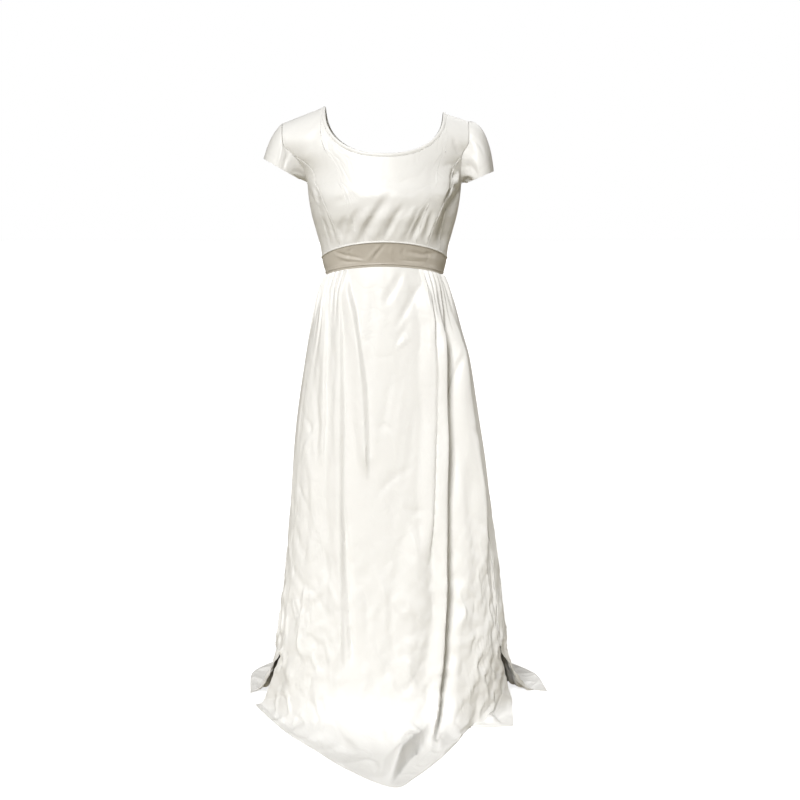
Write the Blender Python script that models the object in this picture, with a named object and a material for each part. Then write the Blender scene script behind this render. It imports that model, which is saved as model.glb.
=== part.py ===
"""Empire-line evening gown with cap sleeves and a satin waistband, filled out as it is worn.

Metres, +Z up, the front faces -Y, +X is the wearer's left. The origin is the point between
the shoulders from which the gown hangs, and its hem trails on the floor.
"""
import math

import bmesh
import bpy
from mathutils import Vector

# Overall sizes
SHOULDER_HEIGHT = 1.380      # floor to the neck end of the higher shoulder
CLOTH = 0.0015               # satin with its backing
SEAM_GAP = 0.0003            # between pieces that meet at a seam
FLOOR = -SHOULDER_HEIGHT

# Bodice sizes
UNDERARM_DROP = 0.165        # shoulder level down to the underarm
NECK_HALF = 0.130            # half the neckline's width at the shoulders
FRONT_SCOOP = 0.103          # depth of the neckline in front
BACK_SCOOP = 0.096           # and behind, where the front hides it
NECK_ROUNDNESS = 2.3         # exponent of the neckline's curve
NECK_CROWN = 0.042           # the shoulder line would meet over the neck this far above the origin
YOKE_FALL = 1.2              # how the chest and back round over to the shoulder seam
CHEST_LEAN = 0.077           # how fast the front falls back above the underarm, off the bust
BACK_LEAN = 0.0
BACK_SLIT = 0.0006           # between the two halves of the back, over the zip
SHOULDER_SEAM_ZONE = 0.001   # nominal drop within which a rim stands square to the shoulder seam
SHOULDER_REACH = 0.05        # nominal drop that is certainly below the shoulder seam's gap

# Waistband sizes
BAND_TOP_FRONT = 0.293       # drop of the band's upper edge at the centre front
BAND_TOP_SIDE = 0.331
BAND_FOOT_FRONT = 0.347
BAND_FOOT_SIDE = 0.371
BAND_ARCH = 1.4              # how sharply its edges rise to the centre front
PIPING_WIDTH = 0.0036
PIPING_HEIGHT = 0.0014
LOWER_PIPING_HEIGHT = 0.0010
LOWER_PIPING_RISE = 0.006    # the lower piping lies this far above the band's lower edge
STRIP_GAP = 0.0004           # a strip lies this far off the cloth under it

# Neck binding sizes
BINDING_WIDTH = 0.0075
BINDING_EXTRA = 0.0006       # the binding is thicker than the cloth by this much on its face
NECK_EDGE = NECK_HALF + BINDING_WIDTH
NECK_MIDDLE = Vector((0.0, 0.0, 0.050))

# Sleeve sizes
ARMHOLE_GAP = 0.0009         # the sleeve turns off sharply under the arm, so its seam gap is wider
CROWN_DEPTH = 0.92           # the sleeve's front to back size at its crown, as a share of that at its hem

# Skirt sizes
SLIT_DROP = 1.200            # the side seams are open from here down
SKIRT_SQUARENESS = 2.05
GATHER_TURNS = (38.0, 152.0) # the gathered stretch, in degrees from centre front
GATHER_TURN = 4.6            # degrees of turn for one gather
GATHER_DEPTH = 0.0012        # half its height
GATHER_START = 0.010         # the gathers begin to run out this far below the band
GATHER_LENGTH = 0.085        # and have run out by here
BEND = 0.110                 # the cloth turns from hanging to lying within this length
BEND_SHARE = 0.6             # but within this share of what lies, on a short hem
FOLD_HEIGHTS = (0.0, 0.28, 0.68, 1.0)   # the waist, hip, knee and floor as shares of the way down
FOLD_NARROW = 0.55           # a fold's width at the waist seam, as a share of its width at the floor
FOLD_LEAD = 0.02             # a fold starts this far above where it is said to begin
FOLD_BUILD = 0.16            # and reaches its height this far below

# Zip sizes
ZIP_LENGTH = 0.480
ZIP_HALF_WIDTH = 0.011
ZIP_THICKNESS = 0.0010
ZIP_GAP = 0.0012             # the panels are flat between their columns, so the tape stands clear
ZIP_COLUMNS = (-ZIP_HALF_WIDTH, -ZIP_HALF_WIDTH / 2, 0.0, ZIP_HALF_WIDTH / 2, ZIP_HALF_WIDTH)

# Rows and columns of the walls
YOKE_STEPS = (0.0, 0.12, 0.27, 0.43, 0.60, 0.7485, 0.82, 0.91, 1.0)
SIDE_FIRST_STEP = 5          # the side front panels start at this step of the yoke
BODY_ROWS = 5
NECK_STEPS = 8               # columns of a panel under half the neckline
NECK_CROWDING = 1.5          # how much closer they stand where the neckline is steep
STRAP_STEPS = 3              # columns under the shoulder seam
SIDE_FRONT_COLUMNS = 4
ROUND_COLUMNS = 3            # columns of a back panel between the underarm and the side seam
BAND_COLUMNS = 60
BAND_ROWS = 4
SLEEVE_ROWS = 6
FLAT_OUT = 3.0               # the flow of the skirt: 1 hung, 2 turned on to the floor, 3 at its hem
HANG_ROWS = (0.0, 0.008, 0.035, 0.085, 0.15, 0.23, 0.32, 0.42, 0.52, 0.62, 0.72, 0.81, 0.90, 1.0)
LYING_ROWS = (1.4, 1.75, 2.1, 2.4, 2.7, 3.0)
GATHERED_ROWS = 3            # rows at the waist that are fine enough for the gathers
PLAIN_TURN = 4.6             # degrees of turn between the skirt's columns elsewhere

COLOURS = {
    "ivory_satin": ((0.88, 0.87, 0.83), 0.42),
    "taupe_satin": ((0.42, 0.37, 0.29), 0.38),
    "zip_tape": ((0.80, 0.79, 0.74), 0.70),
}

# Rings of the body from the underarm to the foot of the waistband
TORSO = (
    # drop, half width, front depth, back depth, squareness
    (0.165, 0.1722, 0.116, 0.098, 2.25),
    (0.200, 0.1686, 0.127, 0.096, 2.30),
    (0.235, 0.1625, 0.124, 0.094, 2.30),
    (0.265, 0.1545, 0.114, 0.092, 2.25),
    (0.309, 0.1430, 0.101, 0.090, 2.15),
    (0.340, 0.1390, 0.098, 0.089, 2.10),
    (0.372, 0.1300, 0.098, 0.089, 2.10),
)

# The armhole edge from the underarm up to the shoulder, and how far the cloth has turned there
ARMHOLE = (
    # rise, half width at wearer's left, at wearer's right, depth, turn in degrees
    (0.00, 0.1722, 0.1722, 0.000, 90),
    (0.10, 0.1680, 0.1760, 0.022, 74),
    (0.28, 0.1725, 0.2000, 0.043, 58),
    (0.45, 0.1860, 0.2220, 0.046, 50),
    (1.00, 0.1865, 0.2265, 0.000, 44),
)

# The seams of the bodice as fractions of the turn from centre front to the side
BODICE_SEAMS = (
    # drop, princess seam, side seam
    (0.120, 1.000, 1.000),
    (0.135, 0.880, 1.000),
    (0.150, 0.760, 1.000),
    (0.165, 0.655, 1.000),
    (0.185, 0.585, 0.830),
    (0.205, 0.545, 0.700),
    (0.235, 0.500, 0.630),
    (0.265, 0.465, 0.635),
    (0.290, 0.450, 0.670),
    (0.372, 0.450, 0.670),
)

# The skirt's side seams, a little further back than the bodice's
SIDE_SEAM = 0.740 * math.pi / 2

# The shoulder seams: how far each end lies below the higher neck point
SHOULDERS = (
    # wearer's side, neck end, sleeve end
    (1, 0.0130, 0.0290),
    (-1, 0.0000, 0.0340),
)

# The neck binding across its width
BINDING_PROFILE = (
    # share of the width, share of the extra thickness
    (0.00, 0.3),
    (0.15, 1.0),
    (0.85, 1.0),
    (1.00, 0.3),
)

# Piping across its width
PIPING_PROFILE = (
    # place across as a share of the width, share of the height
    (-0.50, 0.45),
    (-0.25, 1.00),
    (0.25, 1.00),
    (0.50, 0.45),
)

# The outer rings of the sleeves, each by its top and bottom points
SLEEVES = (
    # wearer's side, crown x, crown drop, crown foot x, crown foot drop,
    # tip x, tip drop, tip foot x, tip foot drop, hem half depth
    (1, 0.2235, 0.0560, 0.1790, 0.1640, 0.2440, 0.1390, 0.1850, 0.1640, 0.060),
    (-1, 0.2500, 0.0640, 0.1850, 0.1570, 0.2690, 0.1110, 0.1890, 0.1560, 0.060),
)

# Rings of the hanging skirt
SKIRT = (
    # drop, half width, shift to the wearer's left, front depth, back depth
    (0.372, 0.1300, 0.000, 0.098, 0.089),
    (0.392, 0.1391, 0.000, 0.103, 0.096),
    (0.426, 0.1512, 0.001, 0.110, 0.106),
    (0.494, 0.1704, 0.004, 0.122, 0.120),
    (0.563, 0.1869, 0.007, 0.132, 0.132),
    (0.666, 0.2038, 0.008, 0.144, 0.146),
    (0.771, 0.2181, 0.010, 0.154, 0.158),
    (0.889, 0.2302, 0.013, 0.164, 0.170),
    (1.031, 0.2457, 0.017, 0.175, 0.184),
    (1.127, 0.2567, 0.017, 0.182, 0.193),
    (1.200, 0.2652, 0.016, 0.188, 0.200),
    (1.380, 0.2760, 0.012, 0.200, 0.214),
)

# Where the hem lies on the floor, by how far round from centre front its cloth hangs
FRONT_HEM = (
    # turn in degrees, x, y
    (-66.6, -0.307, -0.010),
    (-60, -0.262, -0.100),
    (-50, -0.212, -0.190),
    (-40, -0.148, -0.278),
    (-27, -0.080, -0.372),
    (-8, 0.025, -0.465),
    (6, 0.069, -0.412),
    (26, 0.141, -0.279),
    (38, 0.172, -0.200),
    (46, 0.186, -0.150),
    (53, 0.215, -0.150),
    (66.6, 0.292, -0.140),
)
BACK_HEM = (
    # turn in degrees, x, y
    (66.6, 0.393, 0.078),
    (86, 0.380, 0.185),
    (118, 0.290, 0.310),
    (148, 0.155, 0.400),
    (180, 0.012, 0.440),
    (212, -0.130, 0.405),
    (242, -0.265, 0.325),
    (272, -0.338, 0.190),
    (293.4, -0.326, 0.060),
)

# How far the free edges below the slits have swung from the line of the seam at the floor
SLIT_SWINGS = {
    # wearer's side (1 left), face (-1 front): across, along
    (1, -1): (0.033, 0.092),
    (1, 1): (0.066, 0.170),
    (-1, -1): (-0.040, 0.086),
    (-1, 1): (-0.058, 0.165),
}

# Folds that hang from the gathers: positive heights stand out, negative ones lie in
FRONT_FOLDS = (
    # x at the waist, at the hip, at the knee, at the floor, half width, height, begins at drop
    (-0.106, -0.106, -0.110, -0.116, 0.018, 0.0060, 0.380),
    (-0.081, -0.077, -0.074, -0.070, 0.017, -0.0100, 0.372),
    (-0.070, -0.050, -0.040, -0.034, 0.022, 0.0060, 0.400),
    (0.078, 0.086, 0.084, 0.050, 0.026, 0.0050, 0.420),
    (0.090, 0.108, 0.104, 0.070, 0.017, -0.0110, 0.380),
    (0.104, 0.124, 0.122, 0.100, 0.014, 0.0060, 0.400),
    (0.112, 0.142, 0.146, 0.130, 0.017, -0.0150, 0.380),
    (0.119, 0.166, 0.180, 0.180, 0.024, 0.0070, 0.420),
)
BACK_FOLDS = (
    # turn in degrees at the waist, and at the floor, half width in degrees, height, begins at drop
    (98, 96, 7, -0.0070, 0.400),
    (112, 112, 8, 0.0080, 0.390),
    (124, 126, 7, -0.0110, 0.385),
    (137, 139, 8, 0.0090, 0.390),
    (150, 153, 8, -0.0090, 0.400),
    (-98, -97, 7, -0.0060, 0.410),
    (-110, -112, 8, 0.0080, 0.395),
    (-123, -125, 7, -0.0110, 0.385),
    (-138, -138, 8, 0.0090, 0.390),
    (-151, -152, 8, -0.0100, 0.400),
)

# Rucks in the cloth that lies on the floor
RUCKS = (
    # start x, start y, end x, end y, half width, height
    (-0.200, -0.150, -0.120, -0.235, 0.030, 0.014),
    (-0.120, -0.170, -0.030, -0.330, 0.028, 0.016),
    (-0.020, -0.200, 0.015, -0.400, 0.026, 0.012),
    (0.060, -0.210, 0.052, -0.370, 0.024, 0.020),
    (0.145, -0.160, 0.110, -0.290, 0.022, 0.016),
    (0.225, -0.090, 0.255, -0.138, 0.020, 0.012),
    (0.060, 0.230, 0.085, 0.380, 0.030, 0.015),
    (-0.090, 0.230, -0.130, 0.350, 0.030, 0.016),
    (0.200, 0.180, 0.260, 0.260, 0.026, 0.014),
    (-0.210, 0.170, -0.270, 0.240, 0.026, 0.014),
)


def smooth_read(table, column, at):
    """Value of a table's column at a place between its rows, without overshoot."""
    if at <= table[0][0]:
        return table[0][column]
    if at >= table[-1][0]:
        return table[-1][column]
    row = 0
    while at > table[row + 1][0]:
        row += 1

    def slope(index):
        if index == 0:
            return edge_slope(0)
        if index == len(table) - 1:
            return edge_slope(index - 1)
        before = edge_slope(index - 1)
        after = edge_slope(index)
        if before * after <= 0:
            return 0.0
        return 2 * before * after / (before + after)

    def edge_slope(index):
        rise = table[index + 1][column] - table[index][column]
        return rise / (table[index + 1][0] - table[index][0])

    width = table[row + 1][0] - table[row][0]
    part = (at - table[row][0]) / width
    low = table[row][column]
    high = table[row + 1][column]
    start = slope(row) * width
    end = slope(row + 1) * width
    return (low * (1 + 2 * part) * (1 - part) ** 2 + start * part * (1 - part) ** 2
            + high * part ** 2 * (3 - 2 * part) + end * part ** 2 * (part - 1))


def bump(distance, reach):
    """Height from 1 in the middle down to 0 at the reach."""
    part = abs(distance) / reach
    return 0.0 if part >= 1 else 0.5 + 0.5 * math.cos(math.pi * part)


def ramp(value, start, end):
    """Smooth rise from 0 at the start to 1 at the end."""
    part = min(max((value - start) / (end - start), 0.0), 1.0)
    return part * part * (3 - 2 * part)


def squared(turn, squareness):
    """Sine and cosine of a turn, pushed out towards a rounded square."""
    across = math.sin(turn)
    along = math.cos(turn)
    reach = (abs(across) ** squareness + abs(along) ** squareness) ** (-1 / squareness)
    return across * reach, along * reach


def torso_point(turn, drop):
    """A point of the body's surface below the underarm; the turn is in radians from centre front."""
    across, along = squared(turn, smooth_read(TORSO, 4, drop))
    depth = smooth_read(TORSO, 2 if along > 0 else 3, drop)
    return Vector((across * smooth_read(TORSO, 1, drop), -along * depth, -drop))


def shoulder_drop(x):
    """How far the line of the shoulder seam, or its run over the open neck, lies below the origin."""
    side, neck_end, sleeve_end = SHOULDERS[0] if x > 0 else SHOULDERS[1]
    sleeve_half = ARMHOLE[-1][1 if side > 0 else 2]
    if abs(x) < NECK_EDGE:
        return -NECK_CROWN + (neck_end + NECK_CROWN) * abs(x) / NECK_EDGE
    return neck_end + (sleeve_end - neck_end) * (abs(x) - NECK_EDGE) / (sleeve_half - NECK_EDGE)


def bodice_point(side, face, part, drop):
    """A point of the bodice: part runs from the centre line (0) to the side seam's plane (1).

    Above the underarm the drop is a nominal one, which runs to 0 at the shoulder seam.
    """
    if drop >= UNDERARM_DROP:
        turn = part * math.pi / 2
        return torso_point(side * (turn if face < 0 else math.pi - turn), drop)
    rise = 1 - drop / UNDERARM_DROP
    full_turn = math.radians(smooth_read(ARMHOLE, 4, rise))
    squareness = TORSO[0][4]
    across, along = squared(part * full_turn, squareness)
    across_end, along_end = squared(full_turn, squareness)
    half = smooth_read(ARMHOLE, 1 if side > 0 else 2, rise)
    edge_depth = smooth_read(ARMHOLE, 3, rise)
    level = math.cos(rise * math.pi / 2) ** YOKE_FALL
    lean = CHEST_LEAN if face < 0 else BACK_LEAN
    centre_depth = TORSO[0][2 if face < 0 else 3] * level - lean * rise * (1 - rise) ** 2
    x = side * half * across / across_end
    y = edge_depth + (centre_depth - edge_depth) * (along - along_end) / (1 - along_end)
    top = -shoulder_drop(side * abs(x))
    z = -UNDERARM_DROP + (top + UNDERARM_DROP) * math.sin(rise * math.pi / 2)
    return Vector((x, face * y, z))


def neckline_height(x, face):
    """Height of the panels' edge below the neck binding, above a place across the gown."""
    scoop = (FRONT_SCOOP if face < 0 else BACK_SCOOP) + BINDING_WIDTH
    end = -SHOULDERS[0 if x > 0 else 1][1]
    part = min(abs(x) / NECK_EDGE, 1.0)
    return end + (-scoop - end) * (1 - part ** NECK_ROUNDNESS) ** (1 / NECK_ROUNDNESS)


def top_of_column(place):
    """Nominal drop where a column of the bodice ends, at the neckline or the shoulder seam."""
    low = UNDERARM_DROP
    high = 0.0
    if not place(high)[1]:
        return high
    for _ in range(40):
        middle = (low + high) / 2
        if place(middle)[1]:
            high = middle
        else:
            low = middle
    return (low + high) / 2


def band_top(turn):
    """Drop of the waistband's upper edge: arched in front, level behind."""
    arch = max(math.cos(turn), 0.0) ** BAND_ARCH
    return BAND_TOP_SIDE + (BAND_TOP_FRONT - BAND_TOP_SIDE) * arch


def band_foot(turn):
    """Drop of the waistband's lower edge."""
    arch = max(math.cos(turn), 0.0) ** BAND_ARCH
    return BAND_FOOT_SIDE + (BAND_FOOT_FRONT - BAND_FOOT_SIDE) * arch


def stitch(mesh, first, second, first_places, second_places, turned=False):
    """Triangles between two rows of vertices whose columns may differ in number."""
    i = 0
    j = 0
    while i < len(first) - 1 or j < len(second) - 1:
        step_first = j == len(second) - 1
        if i < len(first) - 1 and j < len(second) - 1:
            step_first = first_places[i + 1] <= second_places[j + 1] + 1e-9
        if step_first:
            corners = [first[i], second[j], first[i + 1]]
            i += 1
        else:
            corners = [first[i], second[j], second[j + 1]]
            j += 1
        if turned:
            corners.reverse()
        mesh.faces.new(corners)


def wall(name, material, outer, inner, places=None, ring=False):
    """One closed solid between an outer and an inner grid of points, given as rows."""
    mesh = bmesh.new()
    outside = [[mesh.verts.new(point) for point in row] for row in outer]
    inside = [[mesh.verts.new(point) for point in row] for row in inner]
    if places is None:
        places = [list(range(len(row))) for row in outer]
    if ring:
        for row in outside + inside:
            row.append(row[0])
        places = [list(row) + [row[-1] + 1] for row in places]
    for upper in range(len(outside) - 1):
        lower = upper + 1
        stitch(mesh, outside[upper], outside[lower], places[upper], places[lower])
        stitch(mesh, inside[upper], inside[lower], places[upper], places[lower], turned=True)
    stitch(mesh, inside[0], outside[0], places[0], places[0])
    stitch(mesh, outside[-1], inside[-1], places[-1], places[-1])
    if not ring:
        count = list(range(len(outside)))
        for end in (0, -1):
            first = [row[end] for row in outside]
            second = [row[end] for row in inside]
            stitch(mesh, first, second, count, count, turned=end == 0)
    bmesh.ops.recalc_face_normals(mesh, faces=mesh.faces)
    data = bpy.data.meshes.new(name)
    mesh.to_mesh(data)
    mesh.free()
    data.shade_smooth()
    data.set_sharp_from_angle(angle=math.radians(50))
    piece = bpy.data.objects.new(name, data)
    bpy.context.scene.collection.objects.link(piece)
    data.materials.append(material)
    return piece


def satin(name):
    """Material of one cloth."""
    colour, roughness = COLOURS[name]
    material = bpy.data.materials.new(name)
    material.use_nodes = True
    shader = material.node_tree.nodes["Principled BSDF"]
    shader.inputs["Base Color"].default_value = (*colour, 1.0)
    shader.inputs["Roughness"].default_value = roughness
    shader.inputs["Metallic"].default_value = 0.0
    return material


def surface_normal(point, u, v, reference, step_u=1e-4, step_v=1e-4):
    """Unit normal of a surface at a place, on the reference's side."""
    along_u = point(u + step_u, v) - point(u - step_u, v)
    along_v = point(u, v + step_v) - point(u, v - step_v)
    normal = along_u.cross(along_v).normalized()
    return normal if normal.dot(reference) > 0 else -normal


def even(start, end, steps):
    """Evenly spaced values with both ends."""
    return [start + (end - start) * index / steps for index in range(steps + 1)]


# Bodice panels

def bodice_normal(side, face, part, drop):
    """Outward direction of the bodice at a place, the same for both panels at a seam."""
    def point(across, down):
        return bodice_point(side, face, across, down)

    if drop >= UNDERARM_DROP:
        down = max(drop, UNDERARM_DROP + 2e-4)
    else:
        down = min(max(drop, 2e-3), UNDERARM_DROP - 2e-4)
    reference = Vector((side * 0.5 * part, face * (1.05 - 0.9 * part), 0.15))
    if drop < UNDERARM_DROP:
        reference += Vector((0.0, 0.0, 1.0)) * (1 - drop / UNDERARM_DROP) ** 2
    normal = surface_normal(point, part, down, reference)
    if drop < SHOULDER_SEAM_ZONE:
        normal.y = 0.0
        normal.normalize()
    return normal


def seam_inset(side, face, part, drop, amount):
    """The part of the turn that lies an amount of cloth nearer the centre line."""
    step = 1e-3
    near = bodice_point(side, face, part - step, drop)
    far = bodice_point(side, face, part, drop)
    return part - amount * step / max((far - near).length, 1e-6)


def neck_columns(side, face, last_seam):
    """Columns of a panel from the centre line to the armhole, crowded where the neckline is steep."""
    low = 0.0
    high = 1.0
    for _ in range(30):
        corner = (low + high) / 2
        if abs(bodice_point(side, face, corner * last_seam(side, face, 0.0), 0.0).x) < NECK_EDGE:
            low = corner
        else:
            high = corner
    swings = [math.pi / 2 * (1 - (1 - step) ** NECK_CROWDING) for step in even(0.0, 1.0, NECK_STEPS)]
    columns = [corner * math.sin(swing) ** (2 / NECK_ROUNDNESS) for swing in swings]
    return columns + even(corner, 1.0, STRAP_STEPS)[1:]


def front_panel(name, material):
    """The centre panel of the front, from one princess seam to the other."""
    outer_columns = []
    inner_columns = []
    left = neck_columns(1, -1, princess_before)
    right = neck_columns(-1, -1, princess_before)
    for wing, places in ((-1, right[:0:-1]), (1, left)):
        for value in places:
            outer, inner = bodice_column(wing, -1, centre_line, princess_before, value)
            outer_columns.append(outer)
            inner_columns.append(inner)
    outer_rows = [list(row) for row in zip(*outer_columns)]
    inner_rows = [list(row) for row in zip(*inner_columns)]
    return wall(name, material, outer_rows, inner_rows)


def yoke_levels(side, face, first_seam, last_seam, value, first_step=0):
    """Nominal drops of one column of a panel, from its top down to the band."""
    def part_at(drop):
        first = first_seam(side, face, drop)
        last = last_seam(side, face, drop)
        return first + (last - first) * value

    def place(drop):
        part = part_at(drop)
        point = bodice_point(side, face, part, drop)
        return point, point.z > neckline_height(point.x, face) and abs(point.x) < NECK_EDGE

    top = top_of_column(place)
    levels = [top + (UNDERARM_DROP - top) * step for step in YOKE_STEPS]
    if top == 0.0:
        levels[0] = shoulder_inset(side, face, part_at(0.0))
    turn = part_at(BAND_TOP_SIDE) * math.pi / 2
    foot = band_top(turn if face < 0 else math.pi - turn) - SEAM_GAP
    return levels[first_step:] + even(UNDERARM_DROP, foot, BODY_ROWS)[1:]


def bodice_column(side, face, first_seam, last_seam, value, first_step=0):
    """Outer and inner points of one column of a panel, from its top down to the band."""
    outer = []
    inner = []
    for drop in yoke_levels(side, face, first_seam, last_seam, value, first_step):
        first = first_seam(side, face, drop)
        part = first + (last_seam(side, face, drop) - first) * value
        point = bodice_point(side, face, part, drop)
        outer.append(point)
        inner.append(point - CLOTH * bodice_normal(side, face, part, drop))
    return outer, inner


def shoulder_inset(side, face, part):
    """Nominal drop at which a panel stops short of the shoulder seam by half the gap."""
    low = 0.0
    high = SHOULDER_REACH
    for _ in range(30):
        middle = (low + high) / 2
        if abs(bodice_point(side, face, part, middle).y) < SEAM_GAP / 2:
            low = middle
        else:
            high = middle
    return high


def centre_line(side, face, drop):
    """Part of the turn at the centre line, whatever the height."""
    return 0.0


def back_opening(side, face, drop):
    """The edge of a back panel beside the zip."""
    return -seam_inset(side, face, 0.0, drop, BACK_SLIT / 2)


def princess_before(side, face, drop):
    """The centre front panel's edge along the princess seam."""
    part = smooth_read(BODICE_SEAMS, 1, drop)
    return part if drop < BODICE_SEAMS[0][0] else seam_inset(side, face, part, drop, SEAM_GAP / 2)


def princess_after(side, face, drop):
    """The side front panel's edge along the princess seam."""
    part = smooth_read(BODICE_SEAMS, 1, drop)
    return 2 * part - seam_inset(side, face, part, drop, SEAM_GAP / 2)


def side_before(side, face, drop):
    """The side front panel's edge along the side seam."""
    part = smooth_read(BODICE_SEAMS, 2, drop)
    return seam_inset(side, face, part, drop, SEAM_GAP / 2)


def side_front_panel(name, material, side):
    """The narrow panel between the princess seam and the side seam."""
    outer_columns = []
    inner_columns = []
    for value in even(0.0, 1.0, SIDE_FRONT_COLUMNS):
        outer, inner = bodice_column(side, -1, princess_after, side_before, value, SIDE_FIRST_STEP)
        outer_columns.append(outer)
        inner_columns.append(inner)
    outer_rows = [list(row) for row in zip(*outer_columns)]
    inner_rows = [list(row) for row in zip(*inner_columns)]
    return wall(name, material, outer_rows, inner_rows)


def back_panel(name, material, side):
    """Half of the back, which reaches round under the arm to the side seam."""
    outer_columns = []
    inner_columns = []
    columns = neck_columns(side, 1, full_turn)
    for value in columns:
        outer, inner = bodice_column(side, 1, back_opening, full_turn, value)
        outer_columns.append(outer)
        inner_columns.append(inner)
    outer_rows = [list(row) for row in zip(*outer_columns)]
    inner_rows = [list(row) for row in zip(*inner_columns)]
    places = [list(range(len(row))) for row in outer_rows]
    first_round = len(YOKE_STEPS)
    for value in even(0.0, 1.0, ROUND_COLUMNS)[1:]:
        turn = (1 - value * (1 - BODICE_SEAMS[-1][2])) * math.pi / 2
        foot = band_top(turn) - SEAM_GAP
        for step, drop in enumerate(even(UNDERARM_DROP, foot, BODY_ROWS)[1:]):
            edge = side_after(side, drop)
            part = 1 - value * (1 - edge)
            point = bodice_point(side, -1, part, drop)
            row = first_round + step
            outer_rows[row].append(point)
            inner_rows[row].append(point - CLOTH * bodice_normal(side, -1, part, drop))
            places[row].append(len(columns) - 1 + value * ROUND_COLUMNS)
    return wall(name, material, outer_rows, inner_rows, places)


def full_turn(side, face, drop):
    """Part of the turn at the underarm's plane, whatever the height."""
    return 1.0


def side_after(side, drop):
    """The back panel's edge along the side seam."""
    part = smooth_read(BODICE_SEAMS, 2, drop)
    return 2 * part - seam_inset(side, -1, part, drop, SEAM_GAP / 2)


# Waistband, piping and neck binding

def band_turns(columns):
    """Turns right round the body from one edge of the back opening to the other."""
    half_gap = BACK_SLIT / 2 / TORSO[-1][3]
    return even(-math.pi + half_gap, math.pi - half_gap, columns)


def body_normal(turn, drop):
    """Outward direction of the body at a turn."""
    return surface_normal(torso_point, turn, drop, Vector((math.sin(turn), -math.cos(turn), 0.0)))


def strip(name, material, profile):
    """A strip round the body; the profile gives drops and heights above the cloth.

    The profile is a function of the turn that returns the outer line and the inner line.
    """
    outer_rows = []
    inner_rows = []
    turns = band_turns(BAND_COLUMNS)
    for turn in turns:
        outer, inner = profile(turn)
        for rows, line in ((outer_rows, outer), (inner_rows, inner)):
            rows.append([torso_point(turn, drop) + height * body_normal(turn, drop)
                         for drop, height in line])
    return wall(name, material, outer_rows, inner_rows)


def lower_piping_line(turn):
    """Drop of the middle of the lower piping."""
    return band_foot(turn) - LOWER_PIPING_RISE


def waistband(name, material):
    """The taupe satin band itself."""
    def profile(turn):
        drops = even(band_top(turn), band_foot(turn), BAND_ROWS)
        return [(drop, 0.0) for drop in drops], [(drop, -CLOTH) for drop in drops]

    return strip(name, material, profile)


def piping(name, material, middle, height):
    """A half-round strip that lies on the band along a line of drops."""
    def profile(turn):
        drops = [middle(turn) + across * PIPING_WIDTH for across, share in PIPING_PROFILE]
        rises = [STRIP_GAP + share * height for across, share in PIPING_PROFILE]
        return list(zip(drops, rises)), [(drop, STRIP_GAP) for drop in drops]

    return strip(name, material, profile)


def neck_edge_line(side, face):
    """Top points of a panel's columns and their outward directions, from the centre to the shoulder."""
    first = centre_line if face < 0 else back_opening
    last = princess_before if face < 0 else full_turn
    line = []
    for value in neck_columns(side, face, last)[:NECK_STEPS + 1]:
        outer, inner = bodice_column(side, face, first, last, value)
        line.append((outer[0], (outer[0] - inner[0]).normalized()))
    return line


def neck_binding(name, material):
    """The folded strip that edges the neckline, open over the zip."""
    line = neck_edge_line(1, 1)[:-1]
    line += reversed(neck_edge_line(1, -1))
    line += neck_edge_line(-1, -1)[1:]
    line += reversed(neck_edge_line(-1, 1)[:-1])
    outer_rows = []
    inner_rows = []
    for index, (point, normal) in enumerate(line):
        before = line[max(index - 1, 0)][0]
        after = line[min(index + 1, len(line) - 1)][0]
        inward = normal.cross(after - before).normalized()
        if inward.dot(NECK_MIDDLE - point) < 0:
            inward = -inward
        outer = []
        inner = []
        for share, rise in BINDING_PROFILE:
            edge = point + (SEAM_GAP + share * BINDING_WIDTH) * inward
            outer.append(edge + BINDING_EXTRA * rise * normal)
            inner.append(edge - CLOTH * normal)
        outer_rows.append(outer)
        inner_rows.append(inner)
    return wall(name, material, outer_rows, inner_rows)


# Sleeves

def armhole_ring(side):
    """Points and outward directions of the armhole's edge, up the front and down the back."""
    drops = [UNDERARM_DROP * step for step in reversed(YOKE_STEPS)]
    places = [(-1, drop) for drop in drops] + [(1, drop) for drop in drops[-2:0:-1]]
    return [(bodice_point(side, face, 1.0, drop), bodice_normal(side, face, 1.0, drop))
            for face, drop in places]


def sleeve_ring(side, top_x, top_drop, foot_x, foot_drop, half_depth, swings):
    """A tilted oval by its top and bottom points, from the bottom round the front."""
    top = Vector((side * top_x, 0.0, -top_drop))
    foot = Vector((side * foot_x, 0.0, -foot_drop))
    middle = (top + foot) / 2
    points = []
    for swing in swings:
        forward = Vector((0.0, -half_depth * math.sin(swing), 0.0))
        points.append(middle - (top - foot) / 2 * math.cos(swing) + forward)
    return points


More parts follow.
